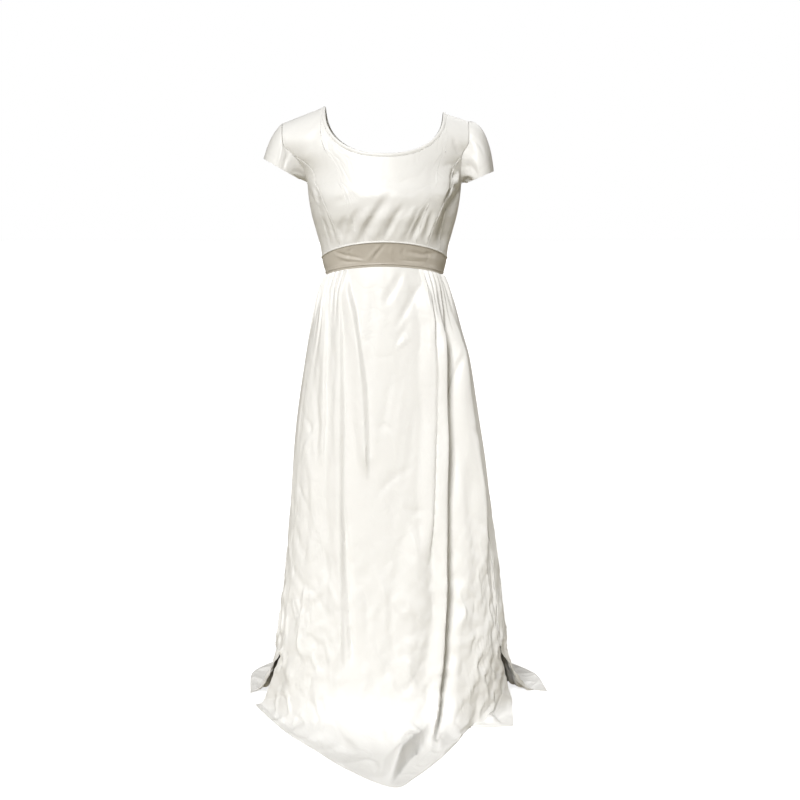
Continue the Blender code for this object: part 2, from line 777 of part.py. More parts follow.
def sleeve(name, material, row):
    """A cap sleeve from the armhole to its open hem."""
    (side, crown_x, crown_drop, crown_foot_x, crown_foot_drop,
     tip_x, tip_drop, tip_foot_x, tip_foot_drop, half_depth) = row
    edge = armhole_ring(side)
    count = len(edge)
    start = []
    for place, (point, normal) in enumerate(edge):
        along = edge[(place + 1) % count][0] - edge[place - 1][0]
        outward = along.cross(normal).normalized()
        if outward.dot(Vector((side, 0.0, 0.5))) < 0:
            outward = -outward
        start.append(point + ARMHOLE_GAP * outward)
    swings = []
    for place, (point, normal) in enumerate(edge):
        height = (point.z - edge[0][0].z) / (edge[len(YOKE_STEPS) - 1][0].z - edge[0][0].z)
        swing = math.acos(max(min(1 - 2 * height, 1.0), -1.0))
        swings.append(swing if place < len(YOKE_STEPS) else 2 * math.pi - swing)
    crown_half = half_depth * CROWN_DEPTH
    crown = sleeve_ring(side, crown_x, crown_drop, crown_foot_x, crown_foot_drop, crown_half, swings)
    hem = sleeve_ring(side, tip_x, tip_drop, tip_foot_x, tip_foot_drop, half_depth, swings)
    outer_rows = []
    for reach in even(0.0, 1.0, SLEEVE_ROWS):
        weights = ((1 - reach) * (1 - 2 * reach), 4 * reach * (1 - reach), reach * (2 * reach - 1))
        outer_rows.append([a * weights[0] + b * weights[1] + c * weights[2]
                           for a, b, c in zip(start, crown, hem)])
    inner_rows = [[point - CLOTH * normal for point, (_, normal) in zip(start, edge)]]
    for index, row_points in enumerate(outer_rows[1:], 1):
        before = outer_rows[max(index - 1, 0)]
        after = outer_rows[min(index + 1, SLEEVE_ROWS)]
        centre = sum(row_points, Vector()) / count
        inner = []
        for place in range(count):
            along = after[place] - before[place]
            across = row_points[(place + 1) % count] - row_points[place - 1]
            normal = along.cross(across).normalized()
            if normal.dot(row_points[place] - centre) < 0:
                normal = -normal
            inner.append(row_points[place] - CLOTH * normal)
        inner_rows.append(inner)
    return wall(name, material, outer_rows, inner_rows, ring=True)


# Skirt

def skirt_ring(turn, drop):
    """Where the plain ring of the skirt lies at a turn, before its folds."""
    across, along = squared(turn, SKIRT_SQUARENESS)
    depth = smooth_read(SKIRT, 3 if along > 0 else 4, drop)
    return Vector((smooth_read(SKIRT, 2, drop) + across * smooth_read(SKIRT, 1, drop), -along * depth, 0.0))


def seam_nearness(face, turn):
    """0 on the centre line of the front or back and 1 on the side seam."""
    if face < 0:
        return abs(turn) / SIDE_SEAM
    return (math.pi - abs(turn)) / (math.pi - SIDE_SEAM)


def hanging_point(face, turn, share):
    """A point of the plain hanging cloth, from the waist seam (0) to the floor (1)."""
    waist = band_foot(turn) + SEAM_GAP
    drop = waist + share * (SHOULDER_HEIGHT - CLOTH - waist)
    ring_drop = SKIRT[0][0] + share * (SKIRT[-1][0] - SKIRT[0][0])
    point = torso_point(turn, waist) + skirt_ring(turn, ring_drop) - skirt_ring(turn, SKIRT[0][0])
    swing = SLIT_SWINGS[(1 if turn > 0 else -1, face)]
    point += Vector((*swing, 0.0)) * ramp(drop, SLIT_DROP, SHOULDER_HEIGHT) * seam_nearness(face, turn) ** 6
    point.z = -drop
    return point


def hem_point(face, turn):
    """Where the hem lies on the floor."""
    degrees = math.degrees(turn)
    table = FRONT_HEM
    if face > 0:
        table = BACK_HEM
        degrees = degrees % 360
    return Vector((smooth_read(table, 1, degrees), smooth_read(table, 2, degrees), FLOOR + CLOTH))


def plain_point(face, turn, flow):
    """A point of the skirt before its folds: hung, turning on to the floor, then lying."""
    corner = hanging_point(face, turn, 1.0)
    hem = hem_point(face, turn)
    run = min(BEND, BEND_SHARE * (hem - corner).length)
    hung = 1 - BEND / (SHOULDER_HEIGHT - band_foot(turn))
    if flow <= 1:
        return hanging_point(face, turn, hung * flow)
    away = corner + (hem - corner).normalized() * run
    if flow <= 2:
        part = flow - 1
        start = hanging_point(face, turn, hung)
        return start * (1 - part) ** 2 + corner * 2 * part * (1 - part) + away * part ** 2
    return away + (hem - away) * (flow - 2)


def column_read(row, share):
    """A fold's place at a share of the way down, from its places at four heights."""
    table = tuple(zip(FOLD_HEIGHTS, row))
    return smooth_read(table, 1, share)


def fold_height(face, turn, point, flow):
    """How far the hanging folds push the cloth out or let it in."""
    drop = -point.z
    share = min(flow, 1.0)
    lying = 1 - ramp(flow, 1.2, 2.4)
    height = 0.0
    if face < 0:
        for *places, reach, rise, begins in FRONT_FOLDS:
            reach = reach * (FOLD_NARROW + (1 - FOLD_NARROW) * share)
            amount = bump(point.x - column_read(places, share), reach)
            height += rise * amount * ramp(drop, begins - FOLD_LEAD, begins + FOLD_BUILD) * lying
    else:
        degrees = math.degrees(turn)
        for start, end, reach, rise, begins in BACK_FOLDS:
            amount = bump(degrees - (start + (end - start) * share), reach)
            height += rise * amount * ramp(drop, begins - FOLD_LEAD, begins + FOLD_BUILD) * lying
    return height


def gather_height(face, turn, drop):
    """The small gathers under the waistband."""
    angle = abs(math.degrees(turn))
    first, last = GATHER_TURNS
    if not first < angle < last:
        return 0.0
    wave = (angle - first) / GATHER_TURN
    uneven = 0.8 + 0.2 * math.sin(2.4 * math.floor(wave))
    below = drop - band_foot(turn)
    fade = 1 - ramp(below, GATHER_START, GATHER_LENGTH)
    return GATHER_DEPTH * uneven * fade * (1 - math.cos(2 * math.pi * wave))


def ruck_height(x, y):
    """Rise of the rucked cloth on the floor at a place."""
    height = 0.0
    for start_x, start_y, end_x, end_y, reach, rise in RUCKS:
        run = Vector((end_x - start_x, end_y - start_y))
        along = (Vector((x - start_x, y - start_y)).dot(run)) / run.length_squared
        nearest = Vector((start_x, start_y)) + run * min(max(along, 0.0), 1.0)
        height += rise * bump((Vector((x, y)) - nearest).length, reach)
    return height


def skirt_points(face, turn, flow):
    """Outer and inner points of the skirt's wall."""
    point = plain_point(face, turn, flow)
    side_step = plain_point(face, turn + 1e-3, flow) - plain_point(face, turn - 1e-3, flow)
    low = max(flow - 5e-3, 0.0)
    high = min(flow + 5e-3, FLAT_OUT)
    down_step = plain_point(face, turn, high) - plain_point(face, turn, low)
    normal = down_step.cross(side_step).normalized()
    if normal.dot(Vector((math.sin(turn), -math.cos(turn), 1.0))) < 0:
        normal = -normal
    if flow > 2:
        normal = Vector((0.0, 0.0, 1.0))
    outer = point + normal * (fold_height(face, turn, point, flow) + gather_height(face, turn, -point.z))
    if flow > 1:
        lying = ramp(flow, 1.3, 2.0)
        outer.z += ruck_height(outer.x, outer.y) * lying
    outer.z = max(outer.z, FLOOR + CLOTH)
    inner = outer - CLOTH * normal
    inner.z = max(inner.z, FLOOR)
    return outer, inner


def skirt_turns(face, fine):
    """Turns of the columns of one row, in degrees from centre front."""
    seam = math.degrees(SIDE_SEAM)
    half_gap = math.degrees(SEAM_GAP / 2 / SKIRT[0][1])
    if face < 0:
        first = 0.0
        last = seam - half_gap
    else:
        first = seam + half_gap
        last = 180.0 - math.degrees(BACK_SLIT / 2 / SKIRT[0][4])
    if not fine:
        return even(first, last, round((last - first) / PLAIN_TURN))
    turns = []
    step = GATHER_TURN / 4
    start = max(first, GATHER_TURNS[0])
    end = min(last, GATHER_TURNS[1])
    if start > first:
        turns += even(first, start, round((start - first) / PLAIN_TURN))[:-1]
    marks = even(*GATHER_TURNS, round((GATHER_TURNS[1] - GATHER_TURNS[0]) / step))
    turns += [start] + [mark for mark in marks if start + step / 3 < mark < end - step / 3] + [end]
    if end < last:
        turns += even(end, last, round((last - end) / PLAIN_TURN))[1:]
    return turns


def skirt_panel(name, material, face, sides):
    """A panel of the skirt: the whole front, or half of the back."""
    outer_rows = []
    inner_rows = []
    places = []
    for index, flow in enumerate(HANG_ROWS + LYING_ROWS):
        turns = []
        for side in sides:
            turns += [side * turn for turn in skirt_turns(face, index < GATHERED_ROWS)]
        turns = sorted(set(turns))
        pairs = [skirt_points(face, math.radians(turn), flow) for turn in turns]
        outer_rows.append([pair[0] for pair in pairs])
        inner_rows.append([pair[1] for pair in pairs])
        places.append(turns)
    return wall(name, material, outer_rows, inner_rows, places)


# Concealed zip

def zip_tape(name, material):
    """The tape behind the centre back, from the neck binding down into the skirt."""
    levels = yoke_levels(1, 1, back_opening, full_turn, 0.0)[1:]
    rows = [[bodice_pair(x, drop) for x in ZIP_COLUMNS] for drop in levels]
    rows += [[band_pair(x, drop) for x in ZIP_COLUMNS]
             for drop in even(BAND_TOP_SIDE, BAND_FOOT_SIDE, BAND_ROWS)]
    for flow in HANG_ROWS[1:]:
        pairs = [skirt_pair(x, flow) for x in ZIP_COLUMNS]
        rows.append(pairs)
        if -pairs[0][0].z > levels[0] + ZIP_LENGTH:
            break
    depth = CLOTH + ZIP_GAP
    outer = [[point - depth * normal for point, normal in row] for row in rows]
    inner = [[point - (depth + ZIP_THICKNESS) * normal for point, normal in row] for row in rows]
    return wall(name, material, outer, inner)


def bodice_pair(x, drop):
    """A point of the back and its outward direction, a small way across from the centre."""
    side = 1 if x >= 0 else -1
    near = abs(bodice_point(side, 1, 0.01, drop).x)
    part = 0.01 * abs(x) / near
    return bodice_point(side, 1, part, drop), bodice_normal(side, 1, part, drop)


def band_pair(x, drop):
    """A point of the waistband behind and its outward direction."""
    turn = math.pi - x / smooth_read(TORSO, 1, drop)
    return torso_point(turn, drop), body_normal(turn, drop)


def skirt_pair(x, flow):
    """A point of the skirt behind and its outward direction."""
    turn = math.pi - x / SKIRT[0][1]
    outer, inner = skirt_points(1, turn, flow)
    return outer, (outer - inner).normalized()


def make_gown():
    """All pieces of the gown, each its own object."""
    for item in list(bpy.data.objects):
        bpy.data.objects.remove(item)
    ivory = satin("ivory_satin")
    taupe = satin("taupe_satin")
    front_panel("bodice_front", ivory)
    for wing, word in ((1, "left"), (-1, "right")):
        side_front_panel("bodice_side_front_" + word, ivory, wing)
        back_panel("bodice_back_" + word, ivory, wing)
    for row in SLEEVES:
        sleeve("sleeve_left" if row[0] > 0 else "sleeve_right", ivory, row)
    waistband("waistband", taupe)
    piping("piping_upper", ivory, band_top, PIPING_HEIGHT)
    piping("piping_lower", taupe, lower_piping_line, LOWER_PIPING_HEIGHT)
    neck_binding("neck_binding", ivory)
    zip_tape("back_zip", satin("zip_tape"))
    skirt_panel("skirt_front", ivory, -1, (-1, 1))
    skirt_panel("skirt_back_left", ivory, 1, (1,))
    skirt_panel("skirt_back_right", ivory, 1, (-1,))


make_gown()
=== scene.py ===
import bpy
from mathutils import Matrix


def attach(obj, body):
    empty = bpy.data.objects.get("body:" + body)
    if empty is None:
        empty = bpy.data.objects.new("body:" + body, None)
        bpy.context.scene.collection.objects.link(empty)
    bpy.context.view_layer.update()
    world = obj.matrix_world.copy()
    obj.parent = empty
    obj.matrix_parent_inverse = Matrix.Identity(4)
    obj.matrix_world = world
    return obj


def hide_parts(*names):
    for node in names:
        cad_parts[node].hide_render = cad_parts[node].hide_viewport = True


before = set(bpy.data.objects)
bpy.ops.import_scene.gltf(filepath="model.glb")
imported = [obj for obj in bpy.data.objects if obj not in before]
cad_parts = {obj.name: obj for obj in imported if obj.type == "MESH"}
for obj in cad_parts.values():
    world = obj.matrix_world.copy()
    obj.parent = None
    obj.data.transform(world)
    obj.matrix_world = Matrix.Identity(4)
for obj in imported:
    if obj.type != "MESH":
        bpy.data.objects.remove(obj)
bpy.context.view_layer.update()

import math

import bpy
import numpy as np
from mathutils import Vector

bpy.ops.object.select_all(action="DESELECT")

# Centre front of the bodice. One panel of heavy ivory satin, backed, cut on the fold, between the
# two princess seams. It rounds over the bust, reaches the shoulder seams either side of the scooped
# neck, and drags in slanting folds under the bust where it is sewn to the waistband.

SHOULDER_HEIGHT = 1.380
CLOTH = 0.0014
SEAM_GAP = 0.0003
BINDING_WIDTH = 0.0075
NECK_EDGE = 0.130 + BINDING_WIDTH
FRONT_SCOOP = 0.103
BACK_SCOOP = 0.096
NECK_ROUNDNESS = 2.3
NECK_CROWN = 0.042
UNDERARM_DROP = 0.165
YOKE_FALL = 1.2
CHEST_LEAN = 0.077
BACK_SLIT = 0.0006
BAND_TOP = 0.331
BAND_FOOT = 0.371
BAND_ARCH = (0.038, 0.024)
BAND_ARCH_POWER = 1.4
NECK_COLUMNS = 56
STRAP_COLUMNS = 18
YOKE_ROWS = 60
BODY_ROWS = 52

TORSO = (
    # drop, half width, front depth, back depth, squareness
    (0.165, 0.1722, 0.116, 0.098, 2.25),
    (0.200, 0.1686, 0.127, 0.096, 2.30),
    (0.235, 0.1625, 0.124, 0.094, 2.30),
    (0.265, 0.1545, 0.114, 0.092, 2.25),
    (0.309, 0.1430, 0.101, 0.090, 2.15),
    (0.340, 0.1390, 0.098, 0.089, 2.10),
    (0.372, 0.1300, 0.098, 0.089, 2.10),
)
ARMHOLE = (
    # rise, half width at wearer's left, at wearer's right, depth, turn in degrees
    (0.00, 0.1722, 0.1722, 0.000, 90),
    (0.10, 0.1680, 0.1760, 0.022, 74),
    (0.28, 0.1725, 0.2000, 0.043, 58),
    (0.45, 0.1860, 0.2220, 0.046, 50),
    (1.00, 0.1865, 0.2265, 0.000, 44),
)
BODICE_SEAMS = (
    # drop, princess seam, side seam, as shares of the turn from centre front to the side
    (0.120, 1.000, 1.000),
    (0.135, 0.880, 1.000),
    (0.150, 0.760, 1.000),
    (0.165, 0.655, 1.000),
    (0.185, 0.585, 0.830),
    (0.205, 0.545, 0.700),
    (0.235, 0.500, 0.630),
    (0.265, 0.465, 0.635),
    (0.290, 0.450, 0.670),
    (0.372, 0.450, 0.670),
)
SHOULDERS = {
    # wearer's side (1 left): drop at the neck end, at the sleeve end
    1: (0.0130, 0.0290),
    -1: (0.0000, 0.0340),
}

BUST_DRAGS = (
    # height (positive stands out), half width or reach on each side, places across and down,
    # all in millimetres
    (-4.2, 12, (-84, 302), (-71, 259), (-50, 214)),
    (-6, 13, (-52, 303), (-28, 252), (7, 198), (20, 184)),
    (-4.8, 12, (-4, 298), (20, 248), (47, 205)),
    (-5.2, 11.5, (55, 300), (78, 254), (100, 206)),
    (-4, 9.5, (85, 298), (98, 259), (106, 220)),
    (-3.6, 11, (-100, 302), (-94, 267), (-79, 230)),
    (2.6, 11, (-66, 302), (-50, 257), (-24, 208)),
    (2.6, 10.5, (28, 300), (49, 250), (74, 208)),
    (2, 10, (-27, 300), (-4, 250), (24, 208)),
    (6, (34, 6), (150, 118), (139, 150), (138, 175), (136, 198), (128, 220)),
    (-1.4, 16, (-116, 214), (-83, 199), (-38, 190)),
    (-1.2, 14, (100, 203), (67, 190), (31, 186)),
    (-1.2, 12, (-165, 100), (-150, 70), (-140, 45)),
    (-1.8, 9, (168, 110), (158, 85), (150, 60)),
    (-1.4, 7, (125, 132), (142, 126), (160, 128)),
)


def read(table, column, at):
    """Values of a table's column at places between its rows, without overshoot."""
    keys = np.array([row[0] for row in table], float)
    values = np.array([row[column] for row in table], float)
    rises = np.diff(values) / np.diff(keys)
    product = rises[:-1] * rises[1:]
    total = rises[:-1] + rises[1:]
    inner = np.where(product > 0, 2 * product / np.where(total == 0, 1, total), 0)
    slopes = np.concatenate([[rises[0]], inner, [rises[-1]]])
    at = np.clip(at, keys[0], keys[-1])
    row = np.clip(np.searchsorted(keys, at, side="left") - 1, 0, len(keys) - 2)
    width = keys[row + 1] - keys[row]
    part = (at - keys[row]) / width
    return (values[row] * (1 + 2 * part) * (1 - part) ** 2
            + slopes[row] * width * part * (1 - part) ** 2
            + values[row + 1] * part ** 2 * (3 - 2 * part)
            + slopes[row + 1] * width * part ** 2 * (part - 1))


def spots(*coordinates):
    """Places in space from arrays of x, y and z."""
    return np.stack(np.broadcast_arrays(*coordinates), axis=-1)


def apart(places, others):
    """Distances between places in space."""
    return np.linalg.norm(places - others, axis=-1)


def run_of(line):
    """How far along a line each of its points lies."""
    return np.concatenate([[0], np.cumsum(apart(line[1:], line[:-1]))])


def facing(way, guide):
    """Unit directions, turned round where they look away from the guide."""
    way = way / np.linalg.norm(way, axis=-1, keepdims=True)
    return way * np.where((way * guide).sum(-1) < 0, -1, 1)[..., None]


def ramp(value, start, end):
    """Smooth rise from 0 at the start to 1 at the end."""
    part = np.clip((value - start) / (end - start), 0, 1)
    return part * part * (3 - 2 * part)


def window(value, start, full, last, end):
    """Smooth rise to 1 between the first two values and fall to 0 between the last two."""
    return ramp(value, start, full) * (1 - ramp(value, last, end))


def bump(away):
    """A fold's soft cross-section: 1 at its middle, 0 from its own half width on."""
    return 0.5 + 0.5 * np.cos(math.pi * np.clip(away, 0, 1))


def squared(turn, squareness):
    """Sine and cosine of a turn, pushed out towards a rounded square."""
    across, along = np.sin(turn), np.cos(turn)
    reach = (abs(across) ** squareness + abs(along) ** squareness) ** (-1 / squareness)
    return across * reach, along * reach


def torso(turn, drop):
    """The body below the underarm; the turn is in radians from centre front."""
    across, along = squared(turn, read(TORSO, 4, drop))
    depth = np.where(along > 0, read(TORSO, 2, drop), read(TORSO, 3, drop))
    return spots(across * read(TORSO, 1, drop), -along * depth, -drop)


def shoulder_line(side, away):
    """Drop of the shoulder seam, or of its run over the open neck, by distance from the middle."""
    neck_end, sleeve_end = SHOULDERS[side]
    half = ARMHOLE[-1][1 if side > 0 else 2]
    over_neck = -NECK_CROWN + (neck_end + NECK_CROWN) * away / NECK_EDGE
    strap = neck_end + (sleeve_end - neck_end) * (away - NECK_EDGE) / (half - NECK_EDGE)
    return np.where(away < NECK_EDGE, over_neck, strap)


def bodice(side, face, part, drop):
    """The bodice's surface: part runs from the centre line (0) to the plane of the underarm (1)."""
    part, drop = np.broadcast_arrays(np.asarray(part, float), np.asarray(drop, float))
    turn = part * math.pi / 2
    below = torso(side * (turn if face < 0 else math.pi - turn), np.maximum(drop, UNDERARM_DROP))
    rise = np.clip(1 - drop / UNDERARM_DROP, 0, 1)
    whole = np.radians(read(ARMHOLE, 4, rise))
    squareness = TORSO[0][4]
    across, along = squared(part * whole, squareness)
    across_end, along_end = squared(whole, squareness)
    half = read(ARMHOLE, 1 if side > 0 else 2, rise)
    edge_depth = read(ARMHOLE, 3, rise)
    level = np.cos(rise * math.pi / 2) ** YOKE_FALL
    lean = CHEST_LEAN if face < 0 else 0.0
    centre_depth = TORSO[0][2 if face < 0 else 3] * level - lean * rise * (1 - rise) ** 2
    x = half * across / across_end
    y = edge_depth + (centre_depth - edge_depth) * (along - along_end) / (1 - along_end)
    z = -UNDERARM_DROP + (UNDERARM_DROP - shoulder_line(side, abs(x))) * np.sin(rise * math.pi / 2)
    above = spots(side * x, face * y, z)
    return np.where((drop >= UNDERARM_DROP)[..., None], below, above)


def neckline(x, face):
    """Height of the panels' edge, under the neck binding, above a place across the gown."""
    scoop = (FRONT_SCOOP if face < 0 else BACK_SCOOP) + BINDING_WIDTH
    end = np.where(x > 0, -SHOULDERS[1][0], -SHOULDERS[-1][0])
    part = np.clip(abs(x) / NECK_EDGE, 0, 1)
    return end + (-scoop - end) * (1 - part ** NECK_ROUNDNESS) ** (1 / NECK_ROUNDNESS)


def band_top(turn):
    """Drop of the waistband's upper edge: arched in front, level behind."""
    return BAND_TOP - BAND_ARCH[0] * np.maximum(np.cos(turn), 0) ** BAND_ARCH_POWER


def band_foot(turn):
    """Drop of the waistband's lower edge."""
    return BAND_FOOT - BAND_ARCH[1] * np.maximum(np.cos(turn), 0) ** BAND_ARCH_POWER


def inset(side, face, part, drop, amount):
    """A seam's place moved an amount of cloth towards the centre line."""
    run = bodice(side, face, part, drop) - bodice(side, face, part - 1e-3, drop)
    return part - amount * 1e-3 / np.maximum(np.linalg.norm(run, axis=-1), 1e-6)


def princess_seam(side, drop, after):
    """The princess seam's place, on the centre panel's edge or after it on the side front's."""
    part = read(BODICE_SEAMS, 1, drop)
    near = inset(side, -1, part, drop, SEAM_GAP / 2)
    if after:
        return 2 * part - near
    return np.where(drop < BODICE_SEAMS[0][0], part, near)


def side_seam(side, drop, after):
    """The side seam's place, on the side front's edge or after it on the back's."""
    part = read(BODICE_SEAMS, 2, drop)
    near = inset(side, -1, part, drop, SEAM_GAP / 2)
    return 2 * part - near if after else near


def wander(at, spacing, seed):
    """A smooth uneven value from -1 to 1 along a line, with one swing in about each spacing."""
    values = np.random.default_rng(seed).uniform(-1, 1, 257)
    place = np.asarray(at, float) / spacing + 40.37
    step = np.floor(place).astype(int)
    part = place - step
    part = part * part * (3 - 2 * part)
    return values[step % 257] * (1 - part) + values[(step + 1) % 257] * part


def wander_over(u, v, spacing_u, spacing_v, seed):
    """The same over a surface, with its own spacing each way."""
    values = np.random.default_rng(seed).uniform(-1, 1, (129, 129))
    a, b = np.asarray(u, float) / spacing_u + 20.37, np.asarray(v, float) / spacing_v + 31.71
    i, j = np.floor(a).astype(int), np.floor(b).astype(int)
    s, t = a - i, b - j
    s, t = s * s * (3 - 2 * s), t * t * (3 - 2 * t)
    low = values[i % 129, j % 129] * (1 - s) + values[(i + 1) % 129, j % 129] * s
    high = values[i % 129, (j + 1) % 129] * (1 - s) + values[(i + 1) % 129, (j + 1) % 129] * s
    return low * (1 - t) + high * t


def creases(u, v, rows, fade=0.35):
    """Heights of folds laid along paths over a surface, each soft, uneven and fading at its ends.

    A fold's reach is one width, or two where it is steeper on one side: left and right of a path
    that runs downwards. The rows are in millimetres, all else in metres.
    """
    height = np.zeros(np.broadcast(u, v).shape)
    for number, (rise, reach, *path) in enumerate(rows):
        left_reach, right_reach = np.broadcast_to(np.array(reach) / 1000, 2)
        reach = max(left_reach, right_reach)
        path = np.array(path) / 1000
        starts = run_of(path)
        best = np.full(height.shape, 1e9)
        along = np.zeros(height.shape)
        on_right = np.zeros(height.shape)
        for index, length in enumerate(np.diff(starts)):
            way = (path[index + 1] - path[index]) / length
            run = np.clip((u - path[index][0]) * way[0] + (v - path[index][1]) * way[1], 0, length)
            off_u = u - path[index][0] - run * way[0]
            off_v = v - path[index][1] - run * way[1]
            gap = np.hypot(off_u, off_v)
            nearer = gap < best
            best = np.where(nearer, gap, best)
            along = np.where(nearer, starts[index] + run, along)
            on_right = np.where(nearer, off_u * way[1] - off_v * way[0] > 0, on_right)
        share = along / starts[-1]
        width = np.where(on_right > 0, right_reach, left_reach)
        width = width * (0.75 + 0.5 * np.sin(math.pi * np.clip(share, 0, 1)))
        width = width * (1 + 0.22 * wander(along, reach * 3.1, 91 + number))
        ends = ramp(share, 0, fade) * ramp(1 - share, 0, fade)
        uneven = 1 + 0.25 * wander(along, reach * 4.3, 37 + number)
        height += rise / 1000 * ends * uneven * bump(best / width)
    return height


def outward(grid, towards):
    """Unit directions out of a grid of places, on the side that looks the given way."""
    across = np.gradient(grid, axis=1)
    down = np.gradient(grid, axis=0)
    normal = np.cross(across, down)
    normal /= np.maximum(np.linalg.norm(normal, axis=-1, keepdims=True), 1e-12)
    if (normal * towards).sum() < 0:
        normal = -normal
    return normal


def lengths_of(grid):
    """How far along the cloth each place of a grid lies, across and down, in metres."""
    middle = grid.shape[1] // 2
    across = np.cumsum(np.linalg.norm(np.diff(grid, axis=1), axis=-1), axis=1)
    across = np.concatenate([np.zeros((grid.shape[0], 1)), across], axis=1)
    across = across - across[:, middle:middle + 1]
    down = np.cumsum(np.linalg.norm(np.diff(grid, axis=0), axis=-1), axis=0)
    down = np.concatenate([np.zeros((1, grid.shape[1])), down], axis=0)
    return np.stack([across, -down], axis=-1)


def sew(name, grid, material, normal, wall=CLOTH, around=False, keep=None):
    """A thin closed shell on a grid of places: its own face, one let in by the wall, and rims.

    keep says which cells of the grid are cloth, where the piece isn't four-sided.
    """
    count = grid.shape[0] * grid.shape[1]
    places = np.concatenate([grid.reshape(-1, 3), (grid - wall * normal).reshape(-1, 3)])
    uv = np.concatenate([lengths_of(grid).reshape(-1, 2)] * 2)
    index = np.arange(count).reshape(grid.shape[:2])
    if around:
        index = np.concatenate([index, index[:, :1]], axis=1)
    outer = np.stack([index[:-1, :-1], index[1:, :-1], index[1:, 1:], index[:-1, 1:]], -1)
    outer = outer.reshape(-1, 4) if keep is None else outer[keep]
    sample = outer[len(outer) // 2]
    looks = np.cross(places[sample[1]] - places[sample[0]], places[sample[2]] - places[sample[0]])
    if np.dot(looks, normal.reshape(-1, 3)[sample[0]]) < 0:
        outer = outer[:, ::-1]
    edges = np.concatenate([outer[:, [i, (i + 1) % 4]] for i in range(4)])
    there, back = edges[:, 0] * count + edges[:, 1], edges[:, 1] * count + edges[:, 0]
    a, b = edges[~np.isin(there, back)].T
    rims = np.stack([b, a, a + count, b + count], -1)
    faces = np.concatenate([outer, outer[:, ::-1] + count, rims])
    used, faces = np.unique(faces, return_inverse=True)
    faces = faces.reshape(-1, 4)
    data = bpy.data.meshes.new(name)
    data.vertices.add(len(used))
    data.vertices.foreach_set("co", places[used].ravel())
    data.loops.add(faces.size)
    data.loops.foreach_set("vertex_index", faces.ravel().astype(np.int32))
    data.polygons.add(len(faces))
    data.polygons.foreach_set("loop_start", np.arange(0, faces.size, 4, dtype=np.int32))
    data.polygons.foreach_set("loop_total", np.full(len(faces), 4, dtype=np.int32))
    data.update(calc_edges=True)
    layer = data.uv_layers.new(name="Cloth")
    layer.data.foreach_set("uv", uv[used][faces.ravel()].ravel())
    data.shade_smooth()
    data.set_sharp_from_angle(angle=math.radians(60))
    piece = bpy.data.objects.new(name, data)
    bpy.context.scene.collection.objects.link(piece)
    data.materials.append(material)
    return piece


def dress(piece, node):
    """Ties a piece to the gown's one body and hides the solid it stands for."""
    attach(piece, "root")
    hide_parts(node)


def fill(tree, node, **sockets):
    """Gives a node's named sockets their values, or links from other nodes' outputs."""
    for word, value in sockets.items():
        socket = node.inputs[word.replace("_", " ")]
        if isinstance(value, bpy.types.NodeSocket):
            tree.links.new(value, socket)
        else:
            socket.default_value = value
    return node


def add(tree, kind, settings=None, **sockets):
    """A new shader node with its settings and sockets."""
    node = tree.nodes.new("ShaderNode" + kind)
    for word, value in (settings or {}).items():
        setattr(node, word, value)
    return fill(tree, node, **sockets)


def group_of(name, *outputs):
    """A new node group with number outputs, its end, and the cloth's own coordinates."""
    tree = bpy.data.node_groups.new(name, "ShaderNodeTree")
    for word in outputs:
        tree.interface.new_socket(name=word, in_out="OUTPUT", socket_type="NodeSocketFloat")
    uv = add(tree, "UVMap", {"uv_map": "Cloth"})
    return tree, tree.nodes.new("NodeGroupOutput"), uv.outputs["UV"]


def cloth_noise(tree, place, scale, detail, roughness, distortion=0.0):
    """Noise over the flat cloth."""
    field = add(tree, "TexNoise", {"noise_dimensions": "2D"}, Vector=place, Scale=scale,
                Detail=detail, Roughness=roughness, Distortion=distortion)
    return field.outputs["Fac"]


THREAD_WAVE = 6.2832
TWILL_WAVE = 1.2566


def weave_group():
    """Satin seen close: long floats over fine threads, slubs, and a faint unevenness of tone."""
    tree, end, uv = group_of("Satin weave", "Height", "Tone", "Gloss")
    tree.interface.new_socket(name="Threads", in_out="INPUT", socket_type="NodeSocketFloat")
    start = tree.nodes.new("NodeGroupInput")

    def stretched(across, along, detail):
        mapping = add(tree, "Mapping", Vector=uv, Scale=(across, along, 1.0))
        return cloth_noise(tree, mapping.outputs["Vector"], 1.0, detail, 0.55)

    def joined(operation, *values):
        node = add(tree, "Math", {"operation": operation})
        for socket, value in zip(node.inputs, values):
            if isinstance(value, float):
                socket.default_value = value
            else:
                tree.links.new(value, socket)
        return node.outputs["Value"]

    split = add(tree, "SeparateXYZ", Vector=uv)
    warp = joined("MULTIPLY", split.outputs["X"], start.outputs["Threads"])
    weft = joined("MULTIPLY", split.outputs["Y"], start.outputs["Threads"])
    twill = joined("SINE", joined("MULTIPLY", joined("MULTIPLY_ADD", warp, 2.0, weft), TWILL_WAVE))
    thread = joined("SINE", joined("MULTIPLY", warp, THREAD_WAVE))
    slubs = stretched(90.0, 1400.0, 3.0)
    grain = stretched(1400.0, 120.0, 2.0)
    cloud = stretched(9.0, 6.0, 4.0)
    height = joined("MULTIPLY_ADD", thread, 0.10, joined("MULTIPLY", twill, 0.10))
    height = joined("MULTIPLY_ADD", slubs, 0.5, height)
    height = joined("MULTIPLY_ADD", grain, 0.35, height)
    gloss = joined("MULTIPLY_ADD", slubs, 0.5, joined("MULTIPLY", cloud, 0.5))
    fill(tree, end, Height=height, Tone=cloud, Gloss=gloss)
    return tree


def handled_group():
    """The small soft dents that a heavy satin keeps after it is handled, about 4 cm apart."""
    tree, end, uv = group_of("Handled cloth", "Height")
    fill(tree, end, Height=cloth_noise(tree, uv, 24.0, 2.5, 0.45, distortion=0.9))
    return tree


WEAVE = weave_group()
HANDLED = handled_group()


GLOSS_SPREAD = 0.07
WEAVE_RELIEF = 0.00006


